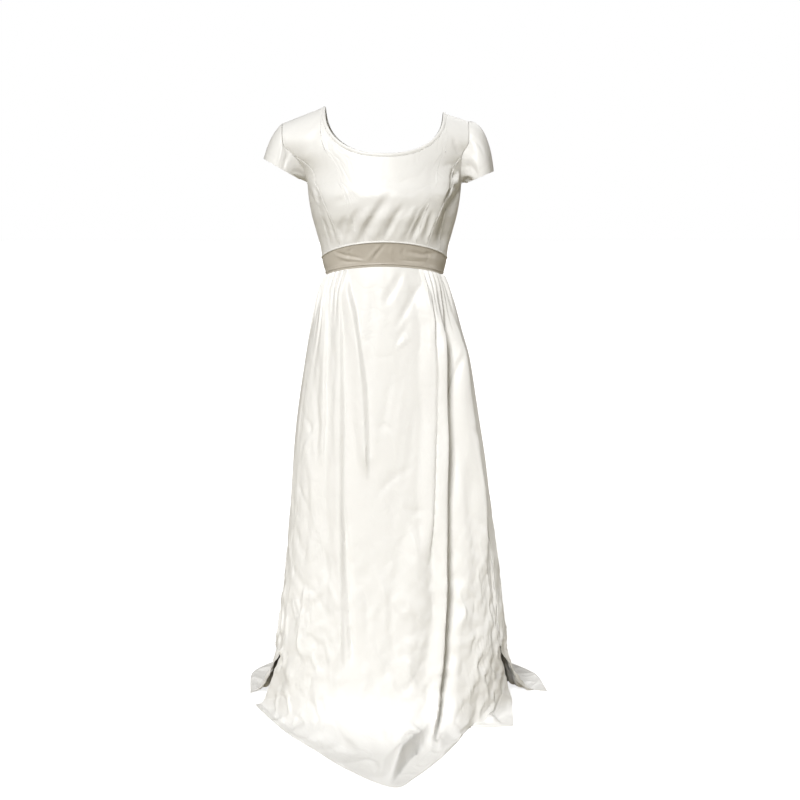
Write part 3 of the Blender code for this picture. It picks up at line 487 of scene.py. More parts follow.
def satin(name, light, dark, roughness, sheen, dents, threads=2600.0):
    """Backed satin: two near tones, a gloss that varies along its floats, weave and soft dents."""
    material = bpy.data.materials.new(name)
    material.use_nodes = True
    tree = material.node_tree
    weave = add(tree, "Group", {"node_tree": WEAVE}, Threads=threads).outputs
    handled = add(tree, "Group", {"node_tree": HANDLED}).outputs
    tone = add(tree, "Mix", {"data_type": "RGBA"}, Factor=weave["Tone"],
               A=(*dark, 1.0), B=(*light, 1.0))
    gloss = add(tree, "MapRange", Value=weave["Gloss"],
                To_Min=roughness - GLOSS_SPREAD, To_Max=roughness + GLOSS_SPREAD)
    soft = add(tree, "Bump", Strength=1.0, Distance=dents, Height=handled["Height"])
    fine = add(tree, "Bump", Strength=0.6, Distance=WEAVE_RELIEF, Height=weave["Height"],
               Normal=soft.outputs["Normal"])
    fill(tree, tree.nodes["Principled BSDF"], Base_Color=tone.outputs["Result"],
         Roughness=gloss.outputs["Result"], Normal=fine.outputs["Normal"], Sheen_Weight=sheen,
         Sheen_Roughness=0.35, Specular_IOR_Level=0.45)
    return material


IVORY = satin("ivory_satin", (0.905, 0.902, 0.888), (0.880, 0.874, 0.850), 0.42, 0.10, 0.0011)


def at_share(first, last, drop, values):
    """Places at shares of the way from one seam to the next."""
    return first(drop) + (last(drop) - first(drop)) * values


def halved(low, high, reached, rounds):
    """Closes in on where a test begins to hold, between a value short of it and one past it."""
    for _ in range(rounds):
        middle = (low + high) / 2
        there = reached(middle)
        low, high = np.where(there, low, middle), np.where(there, middle, high)
    return low, high


def tops_of(side, face, first, last, values):
    """Nominal drop at which each column of a panel ends, at the neckline or the shoulder seam."""
    def open_at(drop):
        place = bodice(side, face, at_share(first, last, drop, values), drop)
        x, z = place[:, 0], place[:, 2]
        return (z > neckline(x, face)) & (abs(x) < NECK_EDGE)

    nowhere = np.zeros(len(values))
    low, high = halved(nowhere + UNDERARM_DROP, nowhere, open_at, 40)
    return np.where(open_at(nowhere), (low + high) / 2, 0.0)


def panel_columns(side, face, last):
    """Columns of a panel from the centre line to the armhole, close where the neckline is steep."""
    low, high = 0.0, 1.0
    for _ in range(30):
        corner = (low + high) / 2
        if abs(bodice(side, face, corner * last(0.0), 0.0)[0]) < NECK_EDGE:
            low = corner
        else:
            high = corner
    swings = math.pi / 2 * (1 - (1 - np.linspace(0, 1, NECK_COLUMNS + 1)) ** 1.5)
    columns = corner * np.sin(swings) ** (2 / NECK_ROUNDNESS)
    return np.concatenate([columns, np.linspace(corner, 1, STRAP_COLUMNS + 1)[1:]])


def shoulder_gap(side, face, part):
    """Nominal drop at which a column stops short of the shoulder seam by half the gap."""
    def clear_at(drop):
        return abs(bodice(side, face, part, drop)[:, 1]) >= SEAM_GAP / 2

    return halved(np.zeros(len(part)), np.full(len(part), 0.05), clear_at, 30)[1]


def panel(side, face, first, last, values, yoke, body, start=0.0):
    """A panel's places: rows from its top down to the underarm, and on to the waistband."""
    tops = tops_of(side, face, first, last, values)
    steps = np.linspace(start, 1, yoke + 1)[:, None]
    drops = tops + (UNDERARM_DROP - tops) * steps
    if start == 0.0:
        seam = shoulder_gap(side, face, at_share(first, last, 0.0, values))
        drops[0] = np.where(tops == 0.0, seam, tops)
    turn = at_share(first, last, BAND_TOP, values) * math.pi / 2
    foot = band_top(turn if face < 0 else math.pi - turn) - SEAM_GAP
    down = np.linspace(0, 1, body + 1)[1:, None]
    drops = np.concatenate([drops, UNDERARM_DROP + (foot - UNDERARM_DROP) * down])
    return bodice(side, face, at_share(first, last, drops, values), drops)


def bodice_out(side, face, part, drop):
    """Outward directions of the bodice at single places."""
    part, drop = np.broadcast_arrays(np.asarray(part, float), np.asarray(drop, float))
    down = np.where(drop >= UNDERARM_DROP, np.maximum(drop, UNDERARM_DROP + 2e-4),
                    np.clip(drop, 2e-3, UNDERARM_DROP - 2e-4))
    step = 1e-4
    sideways = bodice(side, face, part + step, down) - bodice(side, face, part - step, down)
    along = bodice(side, face, part, down + step) - bodice(side, face, part, down - step)
    lifted = np.clip(1 - drop / UNDERARM_DROP, 0, 1) ** 2
    guide = spots(side * 0.5 * part, face * (1.05 - 0.9 * part), 0.15 + lifted)
    way = facing(np.cross(sideways, along), guide)
    way[..., 1] = np.where(drop < 0.001, 0.0, way[..., 1])
    return way / np.linalg.norm(way, axis=-1, keepdims=True)


def at_centre(drop):
    """The centre front, as the edge of a panel."""
    return np.zeros(np.shape(drop))


def neck_outs(side, face, first, last, values):
    """Outward directions along a panel's neck edge, where its columns run beside the edge."""
    values = values[:NECK_COLUMNS + 1]
    tops = tops_of(side, face, first, last, values)
    return bodice_out(side, face, at_share(first, last, tops, values), tops)


FRONT_WAY = np.array([0.0, -1.0, 0.12])
halves = []
front_outs = {}
for side in (-1, 1):
    edge = lambda drop, side=side: princess_seam(side, drop, False)
    values = panel_columns(side, -1, edge)
    halves.append(panel(side, -1, at_centre, edge, values, YOKE_ROWS, BODY_ROWS))
    front_outs[side] = neck_outs(side, -1, at_centre, edge, values)
grid = np.concatenate([halves[0][:, :0:-1], halves[1]], axis=1)


def front_relief(grid):
    """Folds and puckers of the front, by place across and down."""
    x, drop = grid[..., 0], -grid[..., 2]
    rise = creases(x, drop, BUST_DRAGS)
    low = ramp(drop, 0.20, 0.29)
    rise += low * 0.0007 * wander_over(x - 0.55 * drop, drop + 0.3 * x, 0.016, 0.09, 5)
    rise += 0.0006 * wander_over(x, drop, 0.050, 0.045, 6)
    above_band = band_top(np.arctan2(x, 0.10)) - drop
    rise += 0.0007 * wander(x, 0.0048, 8) * window(above_band, 0.0, 0.003, 0.0, 0.016)
    return rise


PUCKER_PITCH = 0.0065


def seam_puckers(grid, seam_columns, seed, rise=0.0006):
    """Short puckers across the cloth beside a seam, from the seam's own tension."""
    total = np.zeros(grid.shape[:2])
    for number, column in enumerate(seam_columns):
        away = apart(grid, grid[:, [column]])
        along = run_of(grid[:, column])[:, None]
        wave = wander(along, PUCKER_PITCH, seed + number)
        wave = wave * (1 + 0.5 * wander(along, PUCKER_PITCH * 7, seed + 9))
        total += rise * wave * window(away, 0.0, 0.002, 0.002, 0.008)
        total -= 0.0007 * (1 - ramp(away, 0.0, 0.0025))
    return total


def to_sides(grid):
    """Distance of each place from the nearer of the panel's side edges."""
    return np.minimum(apart(grid, grid[:, :1]), apart(grid, grid[:, -1:]))


normal = outward(grid, FRONT_WAY)
front_tops = {1: (halves[1][0, :NECK_COLUMNS + 1], front_outs[1]),
              -1: (halves[0][0, :NECK_COLUMNS + 1], front_outs[-1])}
lift = front_relief(grid) * ramp(to_sides(grid), 0.0, 0.009) + seam_puckers(grid, (0, -1), 20)
lift *= ramp(apart(grid, grid[:1]), 0.0, 0.010)
grid = grid + lift[..., None] * normal
bodice_front = sew("front_panel", grid, IVORY, outward(grid, FRONT_WAY))
dress(bodice_front, "bodice_front")

# Side fronts of the bodice. Two narrow ivory panels, a pair, each between a princess seam and the
# side seam. The princess seams ease the bust, so the cloth puckers where their curve is tightest.

UNDERARM_PUCKERS = {
    1: (
        # height, half width, then places across and down, all in millimetres
        (-6, 6, (141.2, 146), (143, 172), (141.2, 200)),
        (-5.5, 5, (157.7, 141), (146.7, 163), (142.3, 187)),
        (3.8, 5, (149, 135), (145.6, 160)),
        (3.6, 5, (164, 139), (160, 168)),
        (-3, 6, (152, 170), (166, 182)),
        (-3.6, 8.5, (118, 300), (135, 240), (146, 200)),
        (2, 7, (128, 300), (143, 240), (154, 205)),
    ),
    -1: (
        (-2.2, 7, (-150, 170), (-142, 215)),
        (1.4, 6, (-158, 172), (-150, 220)),
        (-2, 7, (-105, 300), (-118, 250), (-126, 210)),
        (-1.6, 6, (-118, 305), (-130, 262), (-138, 235)),
    ),
}
# The side fronts don't reach the shoulder. They start just below where the princess seam leaves
# the armhole, at this share of the way down to the underarm.
SIDE_START = 0.7485
SIDE_COLUMNS = 32
SIDE_YOKE_ROWS = 18
SIDE_BODY_ROWS = 60
SIDE_SINK = {1: 0.0085, -1: 0.0025}


def side_sink(side, drop, share):
    """How far the cloth falls in at the side seam, behind where the bust holds it out."""
    return -SIDE_SINK[side] * window(drop, 0.150, 0.205, 0.280, 0.318) * ramp(share, 0, 1)


for side, word in ((1, "left"), (-1, "right")):
    first = lambda drop, side=side: princess_seam(side, drop, True)
    last = lambda drop, side=side: side_seam(side, drop, False)
    values = np.linspace(0, 1, SIDE_COLUMNS + 1)
    grid = panel(side, -1, first, last, values, SIDE_YOKE_ROWS, SIDE_BODY_ROWS, SIDE_START)
    out = np.array([0.75 * side, -0.65, 0.0])
    normal = outward(grid, out)
    lift = creases(grid[..., 0], -grid[..., 2], UNDERARM_PUCKERS[side])
    lift += seam_puckers(grid, (0, -1), 40 + side)
    lift += 0.0006 * wander_over(grid[..., 1] * side, -grid[..., 2], 0.030, 0.050, 50 + side)
    to_ends = np.minimum(apart(grid, grid[:1]), apart(grid, grid[-1:]))
    lift *= ramp(to_ends, 0.0, 0.008) * ramp(to_sides(grid), 0.0, 0.005)
    lift += side_sink(side, -grid[..., 2], values)
    grid = grid + lift[..., None] * normal
    piece = sew("side_front_" + word, grid, IVORY, outward(grid, out))
    dress(piece, "bodice_side_front_" + word)

# Back of the bodice. Two ivory panels, a pair, meeting at the centre back over the concealed zip.
# Each reaches round under the arm to the side seam, so the panel is wider below the armhole.

BACK_DRAGS = {
    # height, half width, then places across and down, all in millimetres, by wearer's side
    1: (
        (-2, 11, (20, 322), (50, 255), (85, 205)),
        (-1.6, 10, (60, 325), (92, 262), (120, 220)),
        (1.6, 12, (40, 322), (72, 255), (104, 212)),
        (-1.4, 13, (12, 250), (45, 236), (80, 232)),
        (-1.2, 12, (70, 100), (105, 128), (140, 150)),
    ),
    -1: (
        (-2, 11, (-24, 322), (-52, 260), (-80, 210)),
        (-1.8, 10, (-66, 325), (-94, 258), (-124, 214)),
        (1.6, 12, (-45, 322), (-73, 257), (-102, 208)),
        (-1.3, 13, (-12, 232), (-50, 226), (-84, 240)),
        (-1.4, 12, (-80, 90), (-118, 122), (-160, 150)),
    ),
}


def zip_edge(side, drop):
    """The edge of a back panel beside the zip."""
    return -inset(side, 1, np.zeros(np.shape(drop)), drop, BACK_SLIT / 2)


def whole_turn(drop):
    """The plane of the underarm, as the edge of a panel."""
    return np.ones(np.shape(drop))


WRAP_COLUMNS = 22
back_tops = {}
for side, word in ((1, "left"), (-1, "right")):
    first = lambda drop, side=side: zip_edge(side, drop)
    values = panel_columns(side, 1, whole_turn)
    grid = panel(side, 1, first, whole_turn, values, YOKE_ROWS, BODY_ROWS)
    normal = outward(grid, np.array([0.25 * side, 0.95, 0.1]))
    back_tops[side] = (grid[0, :NECK_COLUMNS + 1], neck_outs(side, 1, first, whole_turn, values))
    # The panel goes on round the side, from the plane of the underarm to the side seam.
    share = np.linspace(0, 1, WRAP_COLUMNS + 1)[1:]
    foot = band_top((1 - share * (1 - BODICE_SEAMS[-1][2])) * math.pi / 2) - SEAM_GAP
    drops = UNDERARM_DROP + (foot - UNDERARM_DROP) * np.linspace(0, 1, BODY_ROWS + 1)[:, None]
    wrapped = bodice(side, -1, 1 - share * (1 - side_seam(side, drops, True)), drops)
    block = np.concatenate([grid[YOKE_ROWS:, -1:], wrapped], axis=1)
    block_normal = outward(block, np.array([side, -0.4, 0.0]))[:, 1:]
    sunk = side_sink(side, -wrapped[..., 2], np.clip((share - 0.35) / 0.65, 0, 1))
    wrapped = wrapped + sunk[..., None] * block_normal
    above = np.repeat(grid[:YOKE_ROWS, -1:], WRAP_COLUMNS, axis=1)
    above_normal = np.repeat(normal[:YOKE_ROWS, -1:], WRAP_COLUMNS, axis=1)
    x, drop = grid[..., 0], -grid[..., 2]
    lift = creases(x, drop, BACK_DRAGS[side])
    lift += 0.0008 * wander_over(x, drop, 0.045, 0.060, 60 + side)
    lift += seam_puckers(grid, (0,), 70 + side, rise=0.0005)
    lift *= ramp(apart(grid, grid[:1]), 0.0, 0.010)
    lift *= 1 - ramp(abs(x), 0.120, 0.150) * ramp(drop, 0.14, 0.17)
    grid = grid + lift[..., None] * normal
    whole = np.concatenate([grid, np.concatenate([above, wrapped])], axis=1)
    normals = np.concatenate([normal, np.concatenate([above_normal, block_normal])], axis=1)
    keep = np.ones((whole.shape[0] - 1, whole.shape[1] - 1), bool)
    keep[:YOKE_ROWS, len(values) - 1:] = False
    piece = sew("back_panel_" + word, whole, IVORY, normals, keep=keep)
    dress(piece, "bodice_back_" + word)

# Neck binding. A bias strip of the same ivory satin, folded over the raw neckline and topstitched
# close to its inner edge. It runs from one side of the zip round to the other.

BINDING_PROFILE = (
    # share of the width, rise off the panel in metres
    (0.00, 0.0002),
    (0.05, 0.0008),
    (0.14, 0.0006),
    (0.22, 0.0011),
    (0.45, 0.0015),
    (0.72, 0.0016),
    (0.90, 0.0012),
    (1.00, 0.0002),
)

NECK_MIDDLE = np.array([0.0, 0.0, 0.050])
edge, up = (np.concatenate([back_tops[1][part][:-1], front_tops[1][part][::-1],
                            front_tops[-1][part][1:], back_tops[-1][part][-2::-1]])
            for part in (0, 1))
inward = facing(np.cross(up, np.gradient(edge, axis=0)), NECK_MIDDLE - edge)
run = run_of(edge)
columns = []
for share, rise in BINDING_PROFILE:
    lift = rise + 0.00022 * wander(run + 0.004 * share, 0.0055, 83) * math.sin(math.pi * share)
    columns.append(edge + (SEAM_GAP + share * BINDING_WIDTH) * inward + lift[:, None] * up)
grid = np.stack(columns, axis=1)
normals = np.repeat(up[:, None], len(BINDING_PROFILE), axis=1)
binding = sew("neck_strip", grid, IVORY, normals)
dress(binding, "neck_binding")

# Sleeves. Two short ivory cap sleeves, each one piece set into its armhole over the shoulder. They
# stand away from the arm that isn't there, open at the hem, which is turned up once and blind-sewn.

ARMHOLE_GAP = 0.0009
SLEEVES = {
    # wearer's side: crown x and drop, crown foot x and drop, tip x and drop, tip foot x and drop
    1: (0.2235, 0.0560, 0.1790, 0.1640, 0.2440, 0.1390, 0.1850, 0.1640),
    -1: (0.2500, 0.0640, 0.1850, 0.1570, 0.2690, 0.1110, 0.1890, 0.1560),
}
SLEEVE_DEPTH = 0.060
CROWN_DEPTH = 0.92 * SLEEVE_DEPTH
SLEEVE_STEPS = 48
SLEEVE_ROWS = 44
HEM_STITCHES = 0.86
SLEEVE_FOLDS = {
    # height in millimetres, half width, then places by swing round the sleeve in degrees and
    # share of its length
    1: (
        (-2.2, 9, (62, 0.05), (70, 0.95)),
        (1.6, 9, (80, 0.10), (84, 0.90)),
        (-1.6, 8, (112, 0.02), (118, 0.70)),
        (-6, 13, (20, 0.05), (38, 1.05)),
        (2.4, 9, (40, 0.20), (56, 1.00)),
        (-1.8, 10, (290, 0.05), (280, 0.90)),
    ),
    -1: (
        (-2.6, 9, (92, 0.02), (78, 0.98)),
        (2, 9, (110, 0.05), (98, 0.95)),
        (-1.8, 9, (45, 0.02), (52, 0.75)),
        (-1.6, 10, (262, 0.05), (276, 0.90)),
        (-1.6, 10, (310, 0.05), (300, 0.85)),
    ),
}


def oval(side, top_x, top_drop, foot_x, foot_drop, half_depth, swings):
    """A tilted ring by its top and bottom points, from the bottom round the front."""
    top = np.array([side * top_x, 0.0, -top_drop])
    foot = np.array([side * foot_x, 0.0, -foot_drop])
    forward = spots(0.0, -half_depth * np.sin(swings), 0.0)
    return (top + foot) / 2 - (top - foot) / 2 * np.cos(swings)[:, None] + forward


for side, word in ((1, "left"), (-1, "right")):
    steps = np.linspace(1, 0, SLEEVE_STEPS + 1)
    drops = np.concatenate([steps, steps[-2:0:-1]]) * UNDERARM_DROP
    front = np.arange(len(drops)) <= SLEEVE_STEPS
    edge = np.where(front[:, None], bodice(side, -1, 1.0, drops), bodice(side, 1, 1.0, drops))
    up = np.where(front[:, None], bodice_out(side, -1, 1.0, drops), bodice_out(side, 1, 1.0, drops))
    along = np.roll(edge, -1, axis=0) - np.roll(edge, 1, axis=0)
    start = edge + ARMHOLE_GAP * facing(np.cross(along, up), np.array([side, 0.0, 0.5]))
    height = (edge[:, 2] - edge[0, 2]) / (edge[SLEEVE_STEPS, 2] - edge[0, 2])
    swings = np.arccos(np.clip(1 - 2 * height, -1, 1))
    swings = np.where(front, swings, 2 * math.pi - swings)
    crown = oval(side, *SLEEVES[side][:4], CROWN_DEPTH, swings)
    hem = oval(side, *SLEEVES[side][4:], SLEEVE_DEPTH, swings)
    reach = np.linspace(0, 1, SLEEVE_ROWS + 1)[:, None, None]
    grid = ((1 - reach) * (1 - 2 * reach) * start + 4 * reach * (1 - reach) * crown
            + reach * (2 * reach - 1) * hem)
    ring = np.concatenate([grid[:, -1:], grid, grid[:, :1]], axis=1)
    away = (grid - grid.mean(axis=1, keepdims=True)).mean(axis=0)
    normal = outward(ring, np.concatenate([away[-1:], away, away[:1]])[None])[:, 1:-1]
    normal[0] = up
    turns = np.degrees(swings)[None, :] + 0 * reach[..., 0]
    share = reach[..., 0] + 0 * turns
    lift = np.zeros(turns.shape)
    for rise, wide, (turn_a, share_a), (turn_b, share_b) in SLEEVE_FOLDS[side]:
        place = turn_a + (turn_b - turn_a) * (share - share_a) / (share_b - share_a)
        ends = window(share, share_a - 0.02, share_a + 0.25, share_b - 0.2, share_b + 0.1)
        lift += rise / 1000 * ends * bump(abs(turns - place) / wide)
    lift += 0.0005 * wander(turns, 4.0, 77) * window(share, 0.0, 0.04, 0.04, 0.22)
    lift += 0.0007 * wander_over(turns, share, 26.0, 0.4, 78 + side)
    stitched = 1 - ramp(abs(share - HEM_STITCHES), 0.0, 0.025)
    lift -= 0.0003 * stitched * (1 + 0.8 * wander(turns, 3.0, 79))
    grid = grid + lift[..., None] * normal
    piece = sew("cap_sleeve_" + word, grid, IVORY, normal, around=True)
    dress(piece, "sleeve_" + word)

# Waistband. One strip of taupe satin over a stiff backing, closed by the zip behind. It is pulled
# a little off the straight in front, so soft slanting folds cross it.

BAND_FOLDS = (
    # height, half width, then places across and down the front, all in millimetres
    (-2, 5, (6, 294), (-16, 318), (-26, 338)),
    (1.8, 6, (-4, 298), (-28, 322), (-40, 340)),
    (-1.6, 5.5, (-118, 312), (-85, 323), (-40, 330)),
    (1.5, 5, (-116, 322), (-80, 331), (-30, 337)),
    (-1.5, 5, (-110, 334), (-70, 338), (-20, 341)),
    (-1.6, 6, (118, 318), (85, 322), (45, 312)),
    (1.4, 6, (112, 330), (70, 326), (30, 320)),
    (-1.3, 4.5, (100, 338), (60, 336), (20, 332)),
    (-1.2, 5, (-66, 302), (-78, 316), (-74, 336)),
    (1.3, 5.5, (20, 298), (14, 318), (22, 338)),
    (-1.3, 5, (46, 300), (40, 318), (52, 340)),
    (-1.2, 4.5, (90, 308), (98, 322), (92, 342)),
)

TAUPE = satin("taupe_satin", (0.660, 0.620, 0.550), (0.440, 0.392, 0.325), 0.32, 0.15, 0.0008)


def round_body(count):
    """Turns right round the body from one edge of the back opening to the other."""
    gap = BACK_SLIT / 2 / TORSO[-1][3]
    return np.linspace(-math.pi + gap, math.pi - gap, count + 1)


def body_out(turn, drop):
    """Outward directions of the body below the underarm."""
    step = 1e-4
    way = np.cross(torso(turn + step, drop) - torso(turn - step, drop),
                   torso(turn, drop + step) - torso(turn, drop - step))
    return facing(way, spots(np.sin(turn), -np.cos(turn), 0.0))


BAND_TURNS = 360
BAND_ROWS = 30

turns = round_body(BAND_TURNS)[None, :]
share = np.linspace(0, 1, BAND_ROWS + 1)[:, None]
drops = band_top(turns) + (band_foot(turns) - band_top(turns)) * share
turns = turns + 0 * drops
grid = torso(turns, drops)
normal = body_out(turns, drops)
in_front = ramp(np.cos(turns), -0.1, 0.2)
lift = creases(grid[..., 0], drops, BAND_FOLDS) * in_front
lift += 0.0007 * wander_over(turns + 0.5 * share, share, 0.42, 0.35, 90)
lift *= window(share, 0.0, 0.12, 0.72, 0.80)
grid = grid + lift[..., None] * normal
band = sew("waist_band", grid, TAUPE, normal)
dress(band, "waistband")

# Piping. An ivory bias strip round a fine cord fills the seam above the waistband, and a taupe one
# lies along the band just above its lower edge.

STRIP_GAP = 0.0004
PIPING_WIDTH = 0.0036
LOWER_PIPING_RISE = 0.006
PIPING_TURNS = 480
PIPING_ROWS = 10


def lower_line(turn):
    """Drop of the middle of the lower piping."""
    return band_foot(turn) - LOWER_PIPING_RISE


PIPINGS = (
    # piece, node, material, slot, line of drops, height
    ("band_piping_upper", "piping_upper", IVORY, "ivory_satin", band_top, 0.0015),
    ("band_piping_lower", "piping_lower", TAUPE, "taupe_satin", lower_line, 0.0011),
)

for name, node, cloth, slot, middle_drop, height in PIPINGS:
    turns = round_body(PIPING_TURNS)[None, :]
    across = np.linspace(-0.5, 0.5, PIPING_ROWS + 1)[:, None]
    drops = middle_drop(turns) + across * PIPING_WIDTH
    turns = turns + 0 * drops
    rise = STRIP_GAP + height * np.sqrt(np.clip(1 - (2 * across) ** 2 * 0.92, 0, 1))
    rise = rise + 0.00012 * wander(turns, 0.02, 95)
    way = body_out(turns, drops)
    grid = torso(turns, drops) + rise[..., None] * way
    thin = (rise - STRIP_GAP).clip(0.0003, None)[..., None] * way
    piece = sew(name, grid, cloth, thin, wall=1.0)
    dress(piece, node)

# Skirt. Three ivory pieces, the front and a pair behind, gathered into the waistband at the sides
# and back and left plain at centre front. The side seams stop at the slits. The cloth hangs in long
# folds, turns on the floor and lies there, crumpled, in a point in front and a short train behind.

SLIT_DROP = 1.200
SKIRT_SQUARENESS = 2.05
SIDE_SEAM = 0.740 * math.pi / 2
FLOOR = -SHOULDER_HEIGHT
SKIRT_CLOTH = 0.0014
SKIRT = (
    # drop, half width, shift to the wearer's left, front depth, back depth
    (0.372, 0.1300, 0.000, 0.098, 0.089),
    (0.392, 0.1391, 0.000, 0.103, 0.096),
    (0.426, 0.1512, 0.001, 0.110, 0.106),
    (0.494, 0.1704, 0.004, 0.122, 0.120),
    (0.563, 0.1869, 0.007, 0.132, 0.132),
    (0.666, 0.2038, 0.008, 0.144, 0.146),
    (0.771, 0.2181, 0.010, 0.154, 0.158),
    (0.889, 0.2302, 0.013, 0.164, 0.170),
    (1.031, 0.2457, 0.017, 0.175, 0.184),
    (1.127, 0.2567, 0.017, 0.182, 0.193),
    (1.200, 0.2652, 0.016, 0.188, 0.200),
    (1.380, 0.2760, 0.012, 0.200, 0.214),
)
FRONT_HEM = (
    # turn in degrees, x, y
    (-66.6, -0.307, -0.010),
    (-60, -0.262, -0.100),
    (-50, -0.212, -0.190),
    (-40, -0.148, -0.278),
    (-27, -0.080, -0.372),
    (-8, 0.025, -0.465),
    (6, 0.069, -0.412),
    (26, 0.141, -0.279),
    (38, 0.172, -0.200),
    (46, 0.186, -0.150),
    (53, 0.215, -0.150),
    (66.6, 0.292, -0.140),
)
BACK_HEM = (
    # turn in degrees, x, y
    (66.6, 0.393, 0.078),
    (86, 0.380, 0.185),
    (118, 0.290, 0.310),
    (148, 0.155, 0.400),
    (180, 0.012, 0.440),
    (212, -0.130, 0.405),
    (242, -0.265, 0.325),
    (272, -0.338, 0.190),
    (293.4, -0.326, 0.060),
)
SLIT_SWINGS = {
    # wearer's side, face (-1 front): across, along
    (1, -1): (0.033, 0.092),
    (1, 1): (0.066, 0.170),
    (-1, -1): (-0.040, 0.086),
    (-1, 1): (-0.058, 0.165),
}
BEND = 0.110
BEND_SHARE = 0.6
SWING_POWER = 6


def hanging(face, turn, share):
    """The plain hanging cloth, from the waist seam (0) to the floor (1)."""
    waist = band_foot(turn) + SEAM_GAP
    drop = waist + share * (SHOULDER_HEIGHT - SKIRT_CLOTH - waist)
    ring_drop = SKIRT[0][0] + share * (SKIRT[-1][0] - SKIRT[0][0])
    across, along = squared(turn, SKIRT_SQUARENESS)

    def ring(at):
        depth = np.where(along > 0, read(SKIRT, 3, at), read(SKIRT, 4, at))
        return spots(read(SKIRT, 2, at) + across * read(SKIRT, 1, at), -along * depth, 0.0)

    point = torso(turn, waist) + ring(ring_drop) - ring(SKIRT[0][0] + 0 * ring_drop)
    from_middle = abs(turn) if face < 0 else math.pi - abs(turn)
    near = from_middle / (SIDE_SEAM if face < 0 else math.pi - SIDE_SEAM)
    swing = ramp(drop, SLIT_DROP, SHOULDER_HEIGHT) * near ** SWING_POWER
    for axis in (0, 1):
        reach = np.where(turn > 0, SLIT_SWINGS[(1, face)][axis], SLIT_SWINGS[(-1, face)][axis])
        point[..., axis] += reach * swing
    point[..., 2] = -drop
    return point


def hem_place(face, turn):
    """Where the hem lies on the floor."""
    degrees = np.degrees(turn)
    table, degrees = (BACK_HEM, degrees % 360) if face > 0 else (FRONT_HEM, degrees)
    return spots(read(table, 1, degrees), read(table, 2, degrees), FLOOR + SKIRT_CLOTH)


def plain(face, turn, flow):
    """The skirt before its folds: hung (to 1), turning on to the floor (to 2), lying (to 3)."""
    turn, flow = np.broadcast_arrays(np.asarray(turn, float), np.asarray(flow, float))
    corner = hanging(face, turn, np.ones(turn.shape))
    hem = hem_place(face, turn)
    away = hem - corner
    length = np.linalg.norm(away, axis=-1)
    run = np.minimum(BEND, BEND_SHARE * length)
    hung = 1 - BEND / (SHOULDER_HEIGHT - band_foot(turn))
    down = hanging(face, turn, hung * np.clip(flow, 0, 1))
    turned = corner + away / length[..., None] * run[..., None]
    part = np.clip(flow - 1, 0, 1)[..., None]
    bent = down * (1 - part) ** 2 + corner * 2 * part * (1 - part) + turned * part ** 2
    lying = turned + (hem - turned) * np.clip(flow - 2, 0, 1)[..., None]
    place = np.where((flow <= 1)[..., None], down, bent)
    return np.where((flow > 2)[..., None], lying, place)


def plain_out(face, turn, flow):
    """Outward directions of the plain skirt."""
    side_step = plain(face, turn + 1e-3, flow) - plain(face, turn - 1e-3, flow)
    below, above = np.minimum(flow + 5e-3, 3), np.maximum(flow - 5e-3, 0)
    down_step = plain(face, turn, below) - plain(face, turn, above)
    way = facing(np.cross(down_step, side_step), spots(np.sin(turn), -np.cos(turn), 1.0))
    return np.where((flow > 2)[..., None], np.array([0.0, 0.0, 1.0]), way)


FRONT_FOLDS = (
    # height, reach (left and right where they differ), then places across and down, all in mm
    (5, 17, (-104, 372), (-106, 560), (-110, 900), (-116, 1340)),
    (12, (34, 7), (-83, 352), (-78, 402), (-66, 450), (-55, 526), (-46, 604), (-40, 702),
     (-37, 820)),
    (7.5, (18, 6), (-96, 360), (-93, 485), (-93, 681), (-95, 900), (-94, 1121), (-93, 1290)),
    (5.5, (14, 5), (-116, 370), (-127, 441), (-131, 551), (-132, 682), (-137, 792)),
    (-6, (5, 18), (-90, 860), (-84, 1000), (-78, 1130), (-72, 1230)),
    (11, (28, 7), (82, 350), (96, 411), (104, 467), (107, 565), (108, 684), (105, 791),
     (101, 923), (95, 1020)),
    (20, (26, 7), (102, 355), (114, 428), (127, 507), (130, 606), (133, 722), (132, 921),
     (131, 1081), (126, 1200), (116, 1310), (100, 1400), (94, 1520)),
    (-20, (6, 34), (117, 365), (134, 442), (144, 529), (145, 639), (147, 749), (146, 904),
     (144, 1061), (139, 1190), (129, 1310), (113, 1400), (106, 1520)),
    (9, 42, (70, 900), (68, 1030), (60, 1150), (50, 1290)),
    (12, (24, 6), (149, 400), (172, 519), (185, 623), (202, 731), (216, 850), (222, 960),
     (227, 1060)),
    (-5, 6, (174, 535), (163, 585), (152, 639), (145, 705)),
    (-5, (4, 12), (190, 641), (209, 732), (226, 852), (237, 976), (251, 1112), (268, 1249)),
)
